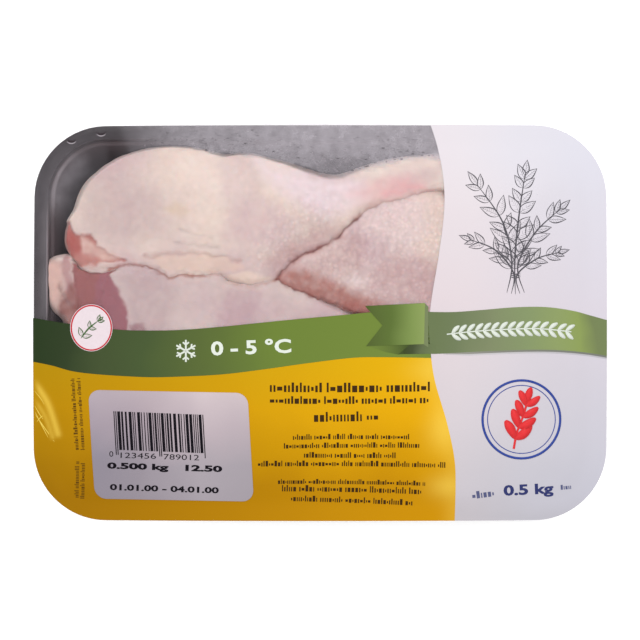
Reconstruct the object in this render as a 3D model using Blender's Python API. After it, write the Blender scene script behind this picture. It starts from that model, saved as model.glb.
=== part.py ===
"""Sealed tray pack of two raw, bone-in chicken legs (thigh and drumstick in one piece).

Metres, +Z up. The origin is the centre of the tray's base, on the surface that the pack stands on.
+X runs along the pack's long side and +Y across it, towards the upper leg.
"""

import math

import bmesh
import bpy
from mathutils import Euler, Matrix, Vector

# Outline of the pack, seen from above
PACK_LENGTH = 0.230
PACK_WIDTH = 0.159
CORNER_RADIUS = 0.0285
SIDE_BOW = 0.0006

# Tray
TRAY_HEIGHT = 0.046
WALL = 0.0011
FLANGE_WIDTH = 0.0056
FLANGE_LIP = 0.0016
STEP_DEPTH = 0.0060
STEP_WIDTH = 0.0014
STEP_LEAN = 0.0006
STEP_FALL = 0.0008
WALL_DRAFT = 0.0105
BASE_RADIUS = 0.0095
BASE_SQUEEZE = 0.8
FOOT_WIDTH = 0.0080
FOOT_HEIGHT = 0.0012
FOOT_RAMP = 0.0022
BEAD_INSET = 0.0160
BEAD_WIDTH = 0.0030

# Lidding film and what lies on it
CLEARANCE = 0.0003
FILM_THICKNESS = 0.0004
FILM_RISE = 0.0034
FILM_RAMP = 0.034
FILM_INSETS = (0.0, FLANGE_WIDTH, 0.0095, 0.014, 0.0185, 0.023, 0.0275, 0.032, 0.037, 0.045, 0.056, 0.070)
# Where the meat pushes the film up: x, y, spread and height
FILM_PUSH = (
    (-0.062, 0.040, 0.034, 0.0012),
    (0.028, 0.026, 0.036, 0.0010),
    (-0.040, -0.014, 0.034, 0.0010),
)
LABEL_THICKNESS = 0.0003
LABEL_CORNERS = ((-0.0930, -0.0268), (-0.0290, -0.0281), (-0.0266, -0.0718), (-0.0904, -0.0706))
LABEL_RADIUS = 0.0046

# Gaps kept round the meat, and the size of its facets
MEAT_GAP = 0.0006
LEG_GAP = 0.0006
REMESH_SIZE = 0.0019
SMOOTHING_ROUNDS = 6
UPPER_TRIANGLES = (3400,)
LOWER_TRIANGLES = (1800, 1500)

CORNER_STEPS = 7
LONG_SIDE_STEPS = 7
SHORT_SIDE_STEPS = 4


def clear_scene():
    """Removes every object and mesh that is already in the file."""
    for obj in list(bpy.data.objects):
        bpy.data.objects.remove(obj)


def material(name, colour, roughness, metallic=0.0, alpha=1.0):
    """A Principled BSDF of one plain colour."""
    made = bpy.data.materials.new(name)
    made.use_nodes = True
    shader = made.node_tree.nodes["Principled BSDF"]
    shader.inputs["Base Color"].default_value = (*colour, 1.0)
    shader.inputs["Roughness"].default_value = roughness
    shader.inputs["Metallic"].default_value = metallic
    shader.inputs["Alpha"].default_value = alpha
    return made


def mesh_object(name, bm, finish=None, smooth_angle=math.radians(40)):
    """Turns a bmesh into a named object with one material, shaded smooth up to an angle."""
    bmesh.ops.recalc_face_normals(bm, faces=bm.faces)
    mesh = bpy.data.meshes.new(name)
    bm.to_mesh(mesh)
    bm.free()
    mesh.shade_smooth()
    mesh.set_sharp_from_angle(angle=smooth_angle)
    obj = bpy.data.objects.new(name, mesh)
    bpy.context.scene.collection.objects.link(obj)
    if finish:
        mesh.materials.append(finish)
    return obj


def smoothstep(value):
    """An even S curve: 0 up to a value of 0 and 1 from a value of 1."""
    t = min(max(value, 0.0), 1.0)
    return t * t * (3 - 2 * t)


def ring(inset, height):
    """Points of the pack's rounded outline, moved inwards by an inset, at one height or a height function."""
    half_x = PACK_LENGTH / 2 - SIDE_BOW - inset
    half_y = PACK_WIDTH / 2 - SIDE_BOW - inset
    radius = min(max(CORNER_RADIUS - inset, 0.004), half_x, half_y)
    centre_x = half_x - radius
    centre_y = half_y - radius
    flat = []
    for quarter in range(4):
        along_x = 1 if quarter in (0, 3) else -1
        along_y = 1 if quarter in (0, 1) else -1
        for step in range(CORNER_STEPS + 1):
            angle = math.radians(90 * (quarter + step / CORNER_STEPS))
            flat.append((
                along_x * centre_x + radius * math.cos(angle),
                along_y * centre_y + radius * math.sin(angle),
            ))
        side_steps = LONG_SIDE_STEPS if quarter in (0, 2) else SHORT_SIDE_STEPS
        x0, y0 = flat[-1]
        x1, y1 = (-x0, y0) if quarter in (0, 2) else (x0, -y0)
        for step in range(1, side_steps):
            share = step / side_steps
            flat.append((x0 + (x1 - x0) * share, y0 + (y1 - y0) * share))
    points = []
    for x, y in flat:
        bow_x = SIDE_BOW * (x / half_x) * (1 - min(abs(y) / half_y, 1.0) ** 2)
        bow_y = SIDE_BOW * (y / half_y) * (1 - min(abs(x) / half_x, 1.0) ** 2)
        z = height(x, y) if callable(height) else height
        points.append((x + bow_x, y + bow_y, z))
    return points


def loft(rings):
    """A closed surface through rings of equal length, with its first and last ring filled."""
    bm = bmesh.new()
    loops = [[bm.verts.new(point) for point in points] for points in rings]
    for lower, upper in zip(loops, loops[1:]):
        count = len(lower)
        for i in range(count):
            j = (i + 1) % count
            bm.faces.new((lower[i], lower[j], upper[j], upper[i]))
    for loop in (loops[0], loops[-1]):
        bm.faces.new(loop)
    return bm


def edge_distance(x, y):
    """How far a point lies inside the flange's inner edge, by the rounded outline."""
    half_x = PACK_LENGTH / 2 - FLANGE_WIDTH
    half_y = PACK_WIDTH / 2 - FLANGE_WIDTH
    radius = CORNER_RADIUS - FLANGE_WIDTH
    over_x = abs(x) - (half_x - radius)
    over_y = abs(y) - (half_y - radius)
    outside = math.hypot(max(over_x, 0.0), max(over_y, 0.0))
    return radius - outside - min(max(over_x, over_y), 0.0)


def film_rise(x, y):
    """How far the film stands above the flange: flat on it, then pushed up by the meat."""
    swell = sum(
        rise * math.exp(-((x - cx) ** 2 + (y - cy) ** 2) / (2 * spread**2))
        for cx, cy, spread, rise in FILM_PUSH
    )
    return smoothstep(edge_distance(x, y) / FILM_RAMP) * (FILM_RISE + swell)


def film_underside(x, y):
    """Height of the film's lower face."""
    return TRAY_HEIGHT + CLEARANCE + film_rise(x, y)


def tray_profile():
    """(inset, height) pairs from the middle of the tray's floor, up the inside, over the flange and down outside."""
    inner_edge = FLANGE_WIDTH
    step_inset = inner_edge + STEP_LEAN
    wall_top = step_inset + STEP_WIDTH
    wall_foot = wall_top + WALL_DRAFT
    floor = FOOT_HEIGHT + WALL
    foot_inner = wall_foot + BASE_RADIUS * BASE_SQUEEZE + FOOT_WIDTH
    inside = [
        (inner_edge, TRAY_HEIGHT),
        (step_inset, TRAY_HEIGHT - STEP_DEPTH),
        (wall_top, TRAY_HEIGHT - STEP_DEPTH - STEP_FALL),
    ]
    for turn in range(4):
        angle = math.radians(18 + 24 * turn)
        inside.append((
            wall_foot + BASE_RADIUS * (1 - math.cos(angle)) * BASE_SQUEEZE,
            WALL + BASE_RADIUS * (1 - math.sin(angle)),
        ))
    inside.append((foot_inner, WALL))
    inside.append((foot_inner + FOOT_RAMP, floor))
    bead = foot_inner + BEAD_INSET
    inside.append((bead, floor))
    inside.append((bead + BEAD_WIDTH / 2, floor - FOOT_HEIGHT * 0.6))
    inside.append((bead + BEAD_WIDTH, floor))
    outside = []
    for inset, height in inside[1:]:
        lean = WALL if height > BASE_RADIUS * 0.3 + WALL else WALL * 0.45
        outside.append((inset - lean, height - (WALL if lean < WALL else WALL * 0.5)))
    lip = [
        (CLEARANCE, TRAY_HEIGHT),
        (CLEARANCE, TRAY_HEIGHT - FLANGE_LIP),
        (CLEARANCE + WALL, TRAY_HEIGHT - FLANGE_LIP),
        (CLEARANCE + WALL, TRAY_HEIGHT - WALL),
        (inner_edge - WALL * 0.6, TRAY_HEIGHT - WALL),
    ]
    return list(reversed(inside)) + lip + outside


def build_tray(finish):
    """The thermoformed tray: sloped walls with a stacking step, a sealing flange with a lip, and a foot ring."""
    rings = [ring(inset, height) for inset, height in tray_profile()]
    return mesh_object("tray", loft(rings), finish, math.radians(30))


def build_film(finish):
    """The lidding film: flat on the flange, raised over the meat, trimmed on the pack's outline."""
    under = [ring(inset, film_underside) for inset in FILM_INSETS]
    over = [[(x, y, z + FILM_THICKNESS) for x, y, z in points] for points in under]
    return mesh_object("lid_film", loft(list(reversed(under)) + over), finish)


def rounded_polygon(corners, radius, arc_steps=4, side_steps=8):
    """Points round a polygon whose corners are cut by arcs, as quadratic curves, with points along its sides."""
    points = []
    count = len(corners)
    for i, corner in enumerate(corners):
        here = Vector(corner)
        following = Vector(corners[(i + 1) % count])
        before = here + (Vector(corners[i - 1]) - here).normalized() * radius
        after = here + (following - here).normalized() * radius
        for step in range(arc_steps + 1):
            t = step / arc_steps
            points.append((1 - t) ** 2 * before + 2 * t * (1 - t) * here + t * t * after)
        side_end = following + (here - following).normalized() * radius
        for step in range(1, side_steps):
            points.append(after.lerp(side_end, step / side_steps))
    return points


def build_label(finish):
    """The price label on the lower left of the film, 64 x 44 mm, a little skewed as it was stuck on."""
    outline = rounded_polygon(LABEL_CORNERS, LABEL_RADIUS)
    middle = sum(outline, Vector((0.0, 0.0))) / len(outline)
    lift = FILM_THICKNESS + CLEARANCE
    shares = (0.15, 0.4, 0.62, 0.82, 1.0)
    rows = []
    for share in shares:
        row = []
        for point in outline:
            x, y = middle + (point - middle) * share
            row.append((x, y, film_underside(x, y) + lift))
        rows.append(row)
    top = [[(x, y, z + LABEL_THICKNESS) for x, y, z in row] for row in rows]
    return mesh_object("price_label", loft(rows + list(reversed(top))), finish)


def add_lump(bm, centre, radii, turn=(0.0, 0.0, 0.0)):
    """Adds an ellipsoid: centre and half axes in metres, turned by degrees round X, Y and Z."""
    angles = Euler([math.radians(angle) for angle in turn])
    place = Matrix.Translation(centre) @ angles.to_matrix().to_4x4() @ Matrix.Diagonal((*radii, 1.0))
    bmesh.ops.create_icosphere(bm, subdivisions=3, radius=1.0, matrix=place)


def add_limb(bm, stations, sides=20, flatten=0.85, between=5):
    """Adds a tapering, round-ended limb through (x, y, z, radius) stations, flatter than it is wide."""
    path = []
    for i in range(len(stations) - 1):
        before = stations[max(i - 1, 0)]
        start, end = stations[i], stations[i + 1]
        after = stations[min(i + 2, len(stations) - 1)]
        for step in range(between):
            t = step / between
            path.append([
                0.5 * (2 * b + (c - a) * t + (2 * a - 5 * b + 4 * c - d) * t**2 + (3 * b - a - 3 * c + d) * t**3)
                for a, b, c, d in zip(before, start, end, after)
            ])
    path.append(list(stations[-1]))
    loops = []
    for i, (x, y, z, radius) in enumerate(path):
        ahead = Vector(path[min(i + 1, len(path) - 1)][:3]) - Vector(path[max(i - 1, 0)][:3])
        across = Vector((-ahead.y, ahead.x, 0.0)).normalized()
        up = ahead.cross(across).normalized() * flatten
        loops.append([
            bm.verts.new(Vector((x, y, z)) + radius * (
                across * math.cos(2 * math.pi * k / sides) + up * math.sin(2 * math.pi * k / sides)
            ))
            for k in range(sides)
        ])
    for low, high in zip(loops, loops[1:]):
        for k in range(sides):
            j = (k + 1) % sides
            bm.faces.new((low[k], low[j], high[j], high[k]))
    bm.faces.new(loops[0])
    bm.faces.new(loops[-1])
    for end in (stations[0], stations[-1]):
        add_lump(bm, end[:3], (end[3], end[3], end[3] * flatten))


def upper_leg_form(bm):
    """The leg on top: a broad thigh on the left, its drumstick running right to the bare ankle."""
    add_lump(bm, (-0.0585, 0.0430, 0.0290), (0.0405, 0.0285, 0.0235))
    add_lump(bm, (-0.0820, 0.0345, 0.0285), (0.0208, 0.0175, 0.0185))
    add_lump(bm, (-0.0310, 0.0450, 0.0285), (0.0270, 0.0238, 0.0215))
    add_limb(bm, (
        (-0.0330, 0.0430, 0.0285, 0.0245),
        (-0.0200, 0.0440, 0.0285, 0.0228),
        (-0.0120, 0.0447, 0.0290, 0.0203),
        (-0.0040, 0.0456, 0.0300, 0.0164),
        (0.0040, 0.0470, 0.0315, 0.0128),
        (0.0110, 0.0492, 0.0330, 0.0104),
        (0.0200, 0.0540, 0.0345, 0.0086),
        (0.0300, 0.0570, 0.0350, 0.0084),
        (0.0430, 0.0592, 0.0350, 0.0084),
    ), between=4)
    add_lump(bm, (0.0495, 0.0628, 0.0350), (0.0070, 0.0052, 0.0068), (0, 0, 12))
    add_lump(bm, (0.0500, 0.0552, 0.0345), (0.0066, 0.0050, 0.0064), (0, 0, -8))
    # The roll of loose skin along the lower side of the thigh
    add_limb(bm, (
        (-0.0990, 0.0255, 0.0330, 0.0036),
        (-0.0840, 0.0275, 0.0370, 0.0042),
        (-0.0640, 0.0258, 0.0395, 0.0050),
        (-0.0480, 0.0240, 0.0405, 0.0056),
        (-0.0340, 0.0220, 0.0405, 0.0056),
        (-0.0215, 0.0200, 0.0400, 0.0028),
    ), sides=14, flatten=0.7)


def lower_thigh_form(bm):
    """The thigh of the leg beneath, along the front left, with the fat at its cut end."""
    add_lump(bm, (-0.0640, 0.0010, 0.0255), (0.0390, 0.0280, 0.0235), (0, 0, -6))
    add_limb(bm, (
        (-0.0480, 0.0000, 0.0265, 0.0265),
        (-0.0300, -0.0020, 0.0270, 0.0262),
        (-0.0100, -0.0115, 0.0270, 0.0255),
        (0.0120, -0.0195, 0.0260, 0.0235),
        (0.0300, -0.0255, 0.0245, 0.0190),
    ), between=4)
    # Fat and loose skin against the tray's wall
    add_lump(bm, (-0.1015, 0.0190, 0.0365), (0.0100, 0.0085, 0.0095))
    add_lump(bm, (-0.0990, 0.0115, 0.0330), (0.0105, 0.0105, 0.0115), (0, 0, -20))
    add_lump(bm, (-0.0915, 0.0000, 0.0285), (0.0110, 0.0120, 0.0150), (0, 0, -35))


def lower_drumstick_form(bm):
    """The drumstick of the leg beneath: bent back up to the right, tucked under both thighs."""
    add_lump(bm, (0.0005, 0.0140, 0.0230), (0.0265, 0.0170, 0.0205), (0, 0, 4))
    add_limb(bm, (
        (0.0080, 0.0130, 0.0215, 0.0220),
        (0.0250, 0.0190, 0.0235, 0.0280),
        (0.0420, 0.0240, 0.0240, 0.0285),
        (0.0580, 0.0285, 0.0250, 0.0225),
        (0.0720, 0.0310, 0.0265, 0.0145),
        (0.0840, 0.0325, 0.0275, 0.0094),
        (0.0930, 0.0320, 0.0275, 0.0088),
    ), between=4)
    add_lump(bm, (0.0975, 0.0362, 0.0272), (0.0062, 0.0052, 0.0070), (0, 0, 10))
    add_lump(bm, (0.0975, 0.0288, 0.0270), (0.0060, 0.0050, 0.0066), (0, 0, -10))


def cavity():
    """A guide solid: the room between the tray and the film, less the gap kept round the meat."""
    step = TRAY_HEIGHT - STEP_DEPTH - STEP_FALL
    wall_foot = FLANGE_WIDTH + STEP_LEAN + STEP_WIDTH + WALL_DRAFT
    levels = [
        (0.070, FOOT_HEIGHT + WALL + MEAT_GAP),
        (wall_foot + BASE_RADIUS * BASE_SQUEEZE + MEAT_GAP, FOOT_HEIGHT + WALL + MEAT_GAP),
        (wall_foot + MEAT_GAP, WALL + BASE_RADIUS + MEAT_GAP),
        (FLANGE_WIDTH + STEP_LEAN + STEP_WIDTH + MEAT_GAP, step),
        (FLANGE_WIDTH + STEP_LEAN + STEP_WIDTH + MEAT_GAP, step + 2 * MEAT_GAP),
        (FLANGE_WIDTH + STEP_LEAN + MEAT_GAP, step + 3 * MEAT_GAP),
        (FLANGE_WIDTH + STEP_LEAN + MEAT_GAP, TRAY_HEIGHT - MEAT_GAP),
    ]
    rings = [ring(inset, height) for inset, height in levels]
    for inset in (FLANGE_WIDTH + 0.0024, 0.013, 0.019, 0.025, 0.031, 0.038, 0.048, 0.058, 0.070):
        rings.append(ring(inset, lambda x, y: film_underside(x, y) - MEAT_GAP))
    return guide(mesh_object("cavity_guide", loft(rings)))


def guide(obj):
    """Marks an object as a cutter that is no part of the pack."""
    obj.hide_render = True
    obj.display_type = "WIRE"
    return obj


def boolean(obj, other, operation):
    """Adds an exact Boolean with another object."""
    made = obj.modifiers.new(f"{operation.lower()}_{other.name}", "BOOLEAN")
    made.operation = operation
    made.solver = "EXACT"
    made.object = other


def evaluated_mesh(obj):
    """A plain mesh of the object with its modifiers applied."""
    graph = bpy.context.evaluated_depsgraph_get()
    return bpy.data.meshes.new_from_object(obj.evaluated_get(graph))


def keep_largest_body(bm):
    """Drops the scraps that a cut may leave beside the main body."""
    unseen = set(bm.verts)
    bodies = []
    while unseen:
        stack = [unseen.pop()]
        body = set(stack)
        while stack:
            for edge in stack.pop().link_edges:
                for vert in edge.verts:
                    if vert in unseen:
                        unseen.discard(vert)
                        body.add(vert)
                        stack.append(vert)
        bodies.append(body)
    main = max(bodies, key=len)
    bmesh.ops.delete(bm, geom=[vert for vert in bm.verts if vert not in main], context="VERTS")


def fused_flesh(name, form, triangles):
    """One smooth skin round the overlapping lumps and limbs of a form, with few triangles."""
    bm = bmesh.new()
    form(bm)
    obj = mesh_object(f"{name}_lumps", bm)
    remesh = obj.modifiers.new("one_skin", "REMESH")
    remesh.mode = "VOXEL"
    remesh.voxel_size = REMESH_SIZE
    smooth = obj.modifiers.new("soften", "SMOOTH")
    smooth.factor = 0.5
    smooth.iterations = SMOOTHING_ROUNDS
    faces = len(evaluated_mesh(obj).polygons)
    thin = obj.modifiers.new("fewer_facets", "DECIMATE")
    thin.ratio = min(1.0, triangles / (2 * faces))
    mesh = evaluated_mesh(obj)
    bpy.data.objects.remove(obj)
    return mesh


def guide_copy(name, mesh):
    """A guide solid made from a mesh."""
    obj = bpy.data.objects.new(name, mesh)
    bpy.context.scene.collection.objects.link(obj)
    return guide(obj)


def build_leg(name, forms, triangles, finish, room, neighbour=None):
    """A whole leg: its fused forms, cut clear of the leg that lies on it, the tray's walls and the film."""
    obj = guide_copy(name, fused_flesh(name, forms[0], triangles[0]))
    for number, form in enumerate(forms[1:], start=1):
        boolean(obj, guide_copy(f"{name}_part_{number}", fused_flesh(name, form, triangles[number])), "UNION")
    if neighbour:
        clear = guide_copy(f"{neighbour.name}_clearance", neighbour.data.copy())
        swell = clear.modifiers.new("gap", "DISPLACE")
        swell.strength = LEG_GAP
        swell.mid_level = 0.0
        boolean(obj, clear, "DIFFERENCE")
    boolean(obj, room, "INTERSECT")
    bm = bmesh.new()
    bm.from_mesh(evaluated_mesh(obj))
    bpy.data.objects.remove(obj)
    bmesh.ops.remove_doubles(bm, verts=bm.verts, dist=0.00005)
    keep_largest_body(bm)
    bmesh.ops.triangulate(bm, faces=bm.faces)
    return mesh_object(name, bm, finish, math.radians(50))


def main():
    """Builds the five pieces of the pack."""
    clear_scene()
    charcoal_plastic = material("charcoal_plastic", (0.042, 0.036, 0.040), 0.38)
    clear_film = material("clear_film", (0.90, 0.89, 0.91), 0.12, alpha=0.3)
    raw_skin = material("raw_chicken_skin", (0.74, 0.52, 0.47), 0.34)
    label_paper = material("label_paper", (0.66, 0.60, 0.65), 0.5)
    build_tray(charcoal_plastic)
    build_film(clear_film)
    build_label(label_paper)
    room = cavity()
    upper = build_leg("leg_upper", (upper_leg_form,), UPPER_TRIANGLES, raw_skin, room)
    lower_forms = (lower_thigh_form, lower_drumstick_form)
    build_leg("leg_lower", lower_forms, LOWER_TRIANGLES, raw_skin, room, neighbour=upper)


main()
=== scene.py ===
"""The looks of a sealed tray pack of raw chicken legs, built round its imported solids.

Metres, +Z up, in the row's frame: +X along the pack's long side, +Y across it, and the
tray's base on the floor. The camera looks straight down on the pack's printed film.
"""

import logging
import math
from dataclasses import dataclass, field
from enum import Enum
from typing import Callable, Sequence

import bmesh
import bpy
import numpy as np
from bpy.types import Material, Mesh, Node, NodeSocket, NodeTree, Object
from mathutils import Euler, Matrix, Vector, geometry, noise
from numpy import ndarray as Array

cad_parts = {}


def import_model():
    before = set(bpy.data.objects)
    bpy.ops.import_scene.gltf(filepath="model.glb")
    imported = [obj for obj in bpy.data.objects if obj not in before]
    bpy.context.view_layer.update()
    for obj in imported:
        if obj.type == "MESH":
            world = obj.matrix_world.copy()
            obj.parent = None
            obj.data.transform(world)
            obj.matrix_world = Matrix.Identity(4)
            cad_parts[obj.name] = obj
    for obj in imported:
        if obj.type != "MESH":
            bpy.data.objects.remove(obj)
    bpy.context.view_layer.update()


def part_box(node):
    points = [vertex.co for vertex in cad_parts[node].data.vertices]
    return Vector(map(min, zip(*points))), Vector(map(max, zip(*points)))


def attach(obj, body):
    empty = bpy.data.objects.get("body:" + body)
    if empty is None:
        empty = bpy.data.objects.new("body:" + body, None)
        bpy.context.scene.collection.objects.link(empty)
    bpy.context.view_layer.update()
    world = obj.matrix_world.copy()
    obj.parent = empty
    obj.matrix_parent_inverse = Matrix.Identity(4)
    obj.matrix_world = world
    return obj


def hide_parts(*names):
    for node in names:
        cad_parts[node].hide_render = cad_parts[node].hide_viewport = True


LOG = logging.getLogger("tray_pack")
MM = 0.001
BODY = "root"
FAR = 140.0

Flat = tuple[float, float]
Colour = tuple[float, float, float, float]
Stroke = list[tuple[float, float, float]]


# Small helpers for colours, curves and meshes

def linear(code: str) -> Colour:
    """Turns an sRGB hex colour into the linear values that shaders take.

    Args:
        code: Six hex digits after a hash sign.

    Returns:
        Linear red, green and blue, and an alpha of 1.
    """
    values = [int(code[i:i + 2], 16) / 255 for i in (1, 3, 5)]
    return (*(v / 12.92 if v <= 0.04045 else ((v + 0.055) / 1.055) ** 2.4 for v in values), 1.0)


def feed(node: Node, inputs: dict) -> None:
    """Links or sets inputs of a node, given by name or number."""
    for name, value in inputs.items():
        if isinstance(value, NodeSocket):
            node.id_data.links.new(value, node.inputs[name])
        else:
            node.inputs[name].default_value = value


def add(tree: NodeTree, kind: str, inputs: dict | None = None, **settings) -> Node:
    """Adds one node with its settings and links.

    Args:
        tree: The node tree that gets the node.
        kind: Blender's type name of the node.
        inputs: Value or output socket for each input, by the input's name or number.
        settings: Properties of the node.

    Returns:
        The new node.
    """
    made = tree.nodes.new(kind)
    for name, value in settings.items():
        setattr(made, name, value)
    feed(made, inputs or {})
    return made


def smoothstep(value: Array) -> Array:
    """An even S curve: 0 up to a value of 0 and 1 from a value of 1."""
    t = np.clip(value, 0.0, 1.0)
    return t * t * (3 - 2 * t)


def bell(value: Array, spread: float = 1.0) -> Array:
    """A bell curve: 1 at a value of 0 and 0.37 at the spread."""
    return np.exp(-((value / spread) ** 2))


def blend(under: Array, code: str, share: Array) -> Array:
    """Rows of linear colours, mixed with one hex colour by a share for each row."""
    return under + (np.array(linear(code)[:3]) - under) * share[:, None]


def curve_through(points: Sequence[Sequence[float]], between: int = 8) -> list[tuple[float, ...]]:
    """A smooth open curve through its points.

    Args:
        points: The points, with any number of values each.
        between: Steps from one point to the next.

    Returns:
        The points of the curve, from the first point to the last.
    """
    path = []
    for i in range(len(points) - 1):
        around = (points[max(i - 1, 0)], points[i], points[i + 1], points[min(i + 2, len(points) - 1)])
        for t in (step / between for step in range(between)):
            path.append(tuple(
                0.5 * (2 * b + (c - a) * t + (2 * a - 5 * b + 4 * c - d) * t**2 + (3 * b - a - 3 * c + d) * t**3)
                for a, b, c, d in zip(*around)
            ))
    return [*path, tuple(points[-1])]


def in_mm(points: Sequence[Sequence[float]]) -> list[tuple[float, ...]]:
    """The same points in metres, from millimetres."""
    return [tuple(value * MM for value in point) for point in points]


def inside(x: Array, y: Array, outline: Sequence[Flat]) -> Array:
    """Tells which points lie inside a closed outline."""
    result = np.zeros(len(x), bool)
    for (x0, y0), (x1, y1) in zip(outline, [*outline[1:], outline[0]]):
        if y0 != y1:
            result ^= ((y0 > y) != (y1 > y)) & (x < (x1 - x0) * (y - y0) / (y1 - y0) + x0)
    return result


def distance_to(x: Array, y: Array, line: Sequence[Flat], closed: bool = False) -> Array:
    """Distance of points from a line of straight runs.

    Args:
        x: X of the points.
        y: Y of the points.
        line: Corners of the line.
        closed: Whether the line comes back to its start.

    Returns:
        The distances.
    """
    best = np.full(len(x), 1e9)
    for (x0, y0), (x1, y1) in zip(line, [*line[1:], line[0]] if closed else line[1:]):
        dx, dy = x1 - x0, y1 - y0
        t = np.clip(((x - x0) * dx + (y - y0) * dy) / max(dx * dx + dy * dy, 1e-18), 0, 1)
        best = np.minimum(best, np.hypot(x - x0 - t * dx, y - y0 - t * dy))
    return best


def signed_depth(x: Array, y: Array, outline: Sequence[Flat]) -> Array:
    """Distance of points from a closed outline, negative outside it."""
    return distance_to(x, y, outline, closed=True) * np.where(inside(x, y, outline), 1.0, -1.0)


def polar(centre: Flat, angle: float, reach: float) -> Flat:
    """The point that lies at an angle and a distance from a centre."""
    return centre[0] + reach * math.cos(angle), centre[1] + reach * math.sin(angle)


def new_object(name: str, data: bpy.types.ID) -> Object:
    """Makes an object from its data and links it to the scene."""
    obj = bpy.data.objects.new(name, data)
    bpy.context.scene.collection.objects.link(obj)
    return obj


def new_mesh(name: str, points: Sequence, edges: Sequence = (), faces: Sequence = ()) -> Mesh:
    """A mesh from points and either edges or faces."""
    mesh = bpy.data.meshes.new(name)
    mesh.from_pydata([tuple(p) for p in points], edges, [tuple(f) for f in faces])
    return mesh


def mesh_piece(name: str, points: Sequence, faces: Sequence, finish: Material) -> Object:
    """Makes an object at the origin from points and faces, smooth but for its edges."""
    mesh = new_mesh(name, points, faces=faces)
    mesh.materials.append(finish)
    mesh.shade_smooth()
    mesh.set_sharp_from_angle(angle=math.radians(50))
    return new_object(name, mesh)


def recoated(mesh: Mesh, finish: Material) -> Mesh:
    """Gives a mesh one finish in place of any that it has."""
    mesh.materials.clear()
    mesh.materials.append(finish)
    return mesh


def read(mesh: Mesh, what: str = "co") -> Array:
    """The places or normals of the mesh's points as an array of three columns."""
    values = np.empty(len(mesh.vertices) * 3, np.float32)
    mesh.vertices.foreach_get(what, values)
    return values.reshape(-1, 3).astype(float)


def set_points(mesh: Mesh, points: Array) -> None:
    """Writes an array of points back into the mesh."""
    mesh.vertices.foreach_set("co", points.astype(np.float32).ravel())
    mesh.update()


def write(mesh: Mesh, name: str, values: Array, kind: str = "FLOAT") -> None:
    """Writes values into the mesh as a named attribute of its points.

    Args:
        mesh: The mesh that gets them.
        name: Name of the attribute.
        values: One value or one row of values for each point.
        kind: Blender's type name of the attribute.
    """
    part = {"FLOAT": "value", "FLOAT_VECTOR": "vector", "FLOAT_COLOR": "color"}[kind]
    made = mesh.attributes.new(name, kind, "POINT")
    made.data.foreach_set(part, np.asarray(values).astype(np.float32).ravel())


def evaluated_copy(obj: Object) -> Mesh:
    """A plain mesh of the object with its modifiers applied."""
    graph = bpy.context.evaluated_depsgraph_get()
    return bpy.data.meshes.new_from_object(obj.evaluated_get(graph), depsgraph=graph)


def tidied(mesh: Mesh, merge: float | None = None) -> None:
    """Turns a mesh's faces outward, after points closer than a distance are merged where one is given."""
    bm = bmesh.new()
    bm.from_mesh(mesh)
    if merge is not None:
        bmesh.ops.remove_doubles(bm, verts=bm.verts, dist=merge)
    bmesh.ops.recalc_face_normals(bm, faces=bm.faces)
    bm.to_mesh(mesh)
    bm.free()


def add_piece(obj: Object, slot: str, *nodes: str) -> Object:
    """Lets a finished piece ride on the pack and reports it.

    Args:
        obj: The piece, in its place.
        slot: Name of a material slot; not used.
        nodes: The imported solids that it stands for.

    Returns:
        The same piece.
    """
    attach(obj, BODY)
    if nodes:
        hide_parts(*nodes)
    LOG.info("%s: %d points", obj.name, len(obj.data.vertices))
    return obj


# The pack's own shape

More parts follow.
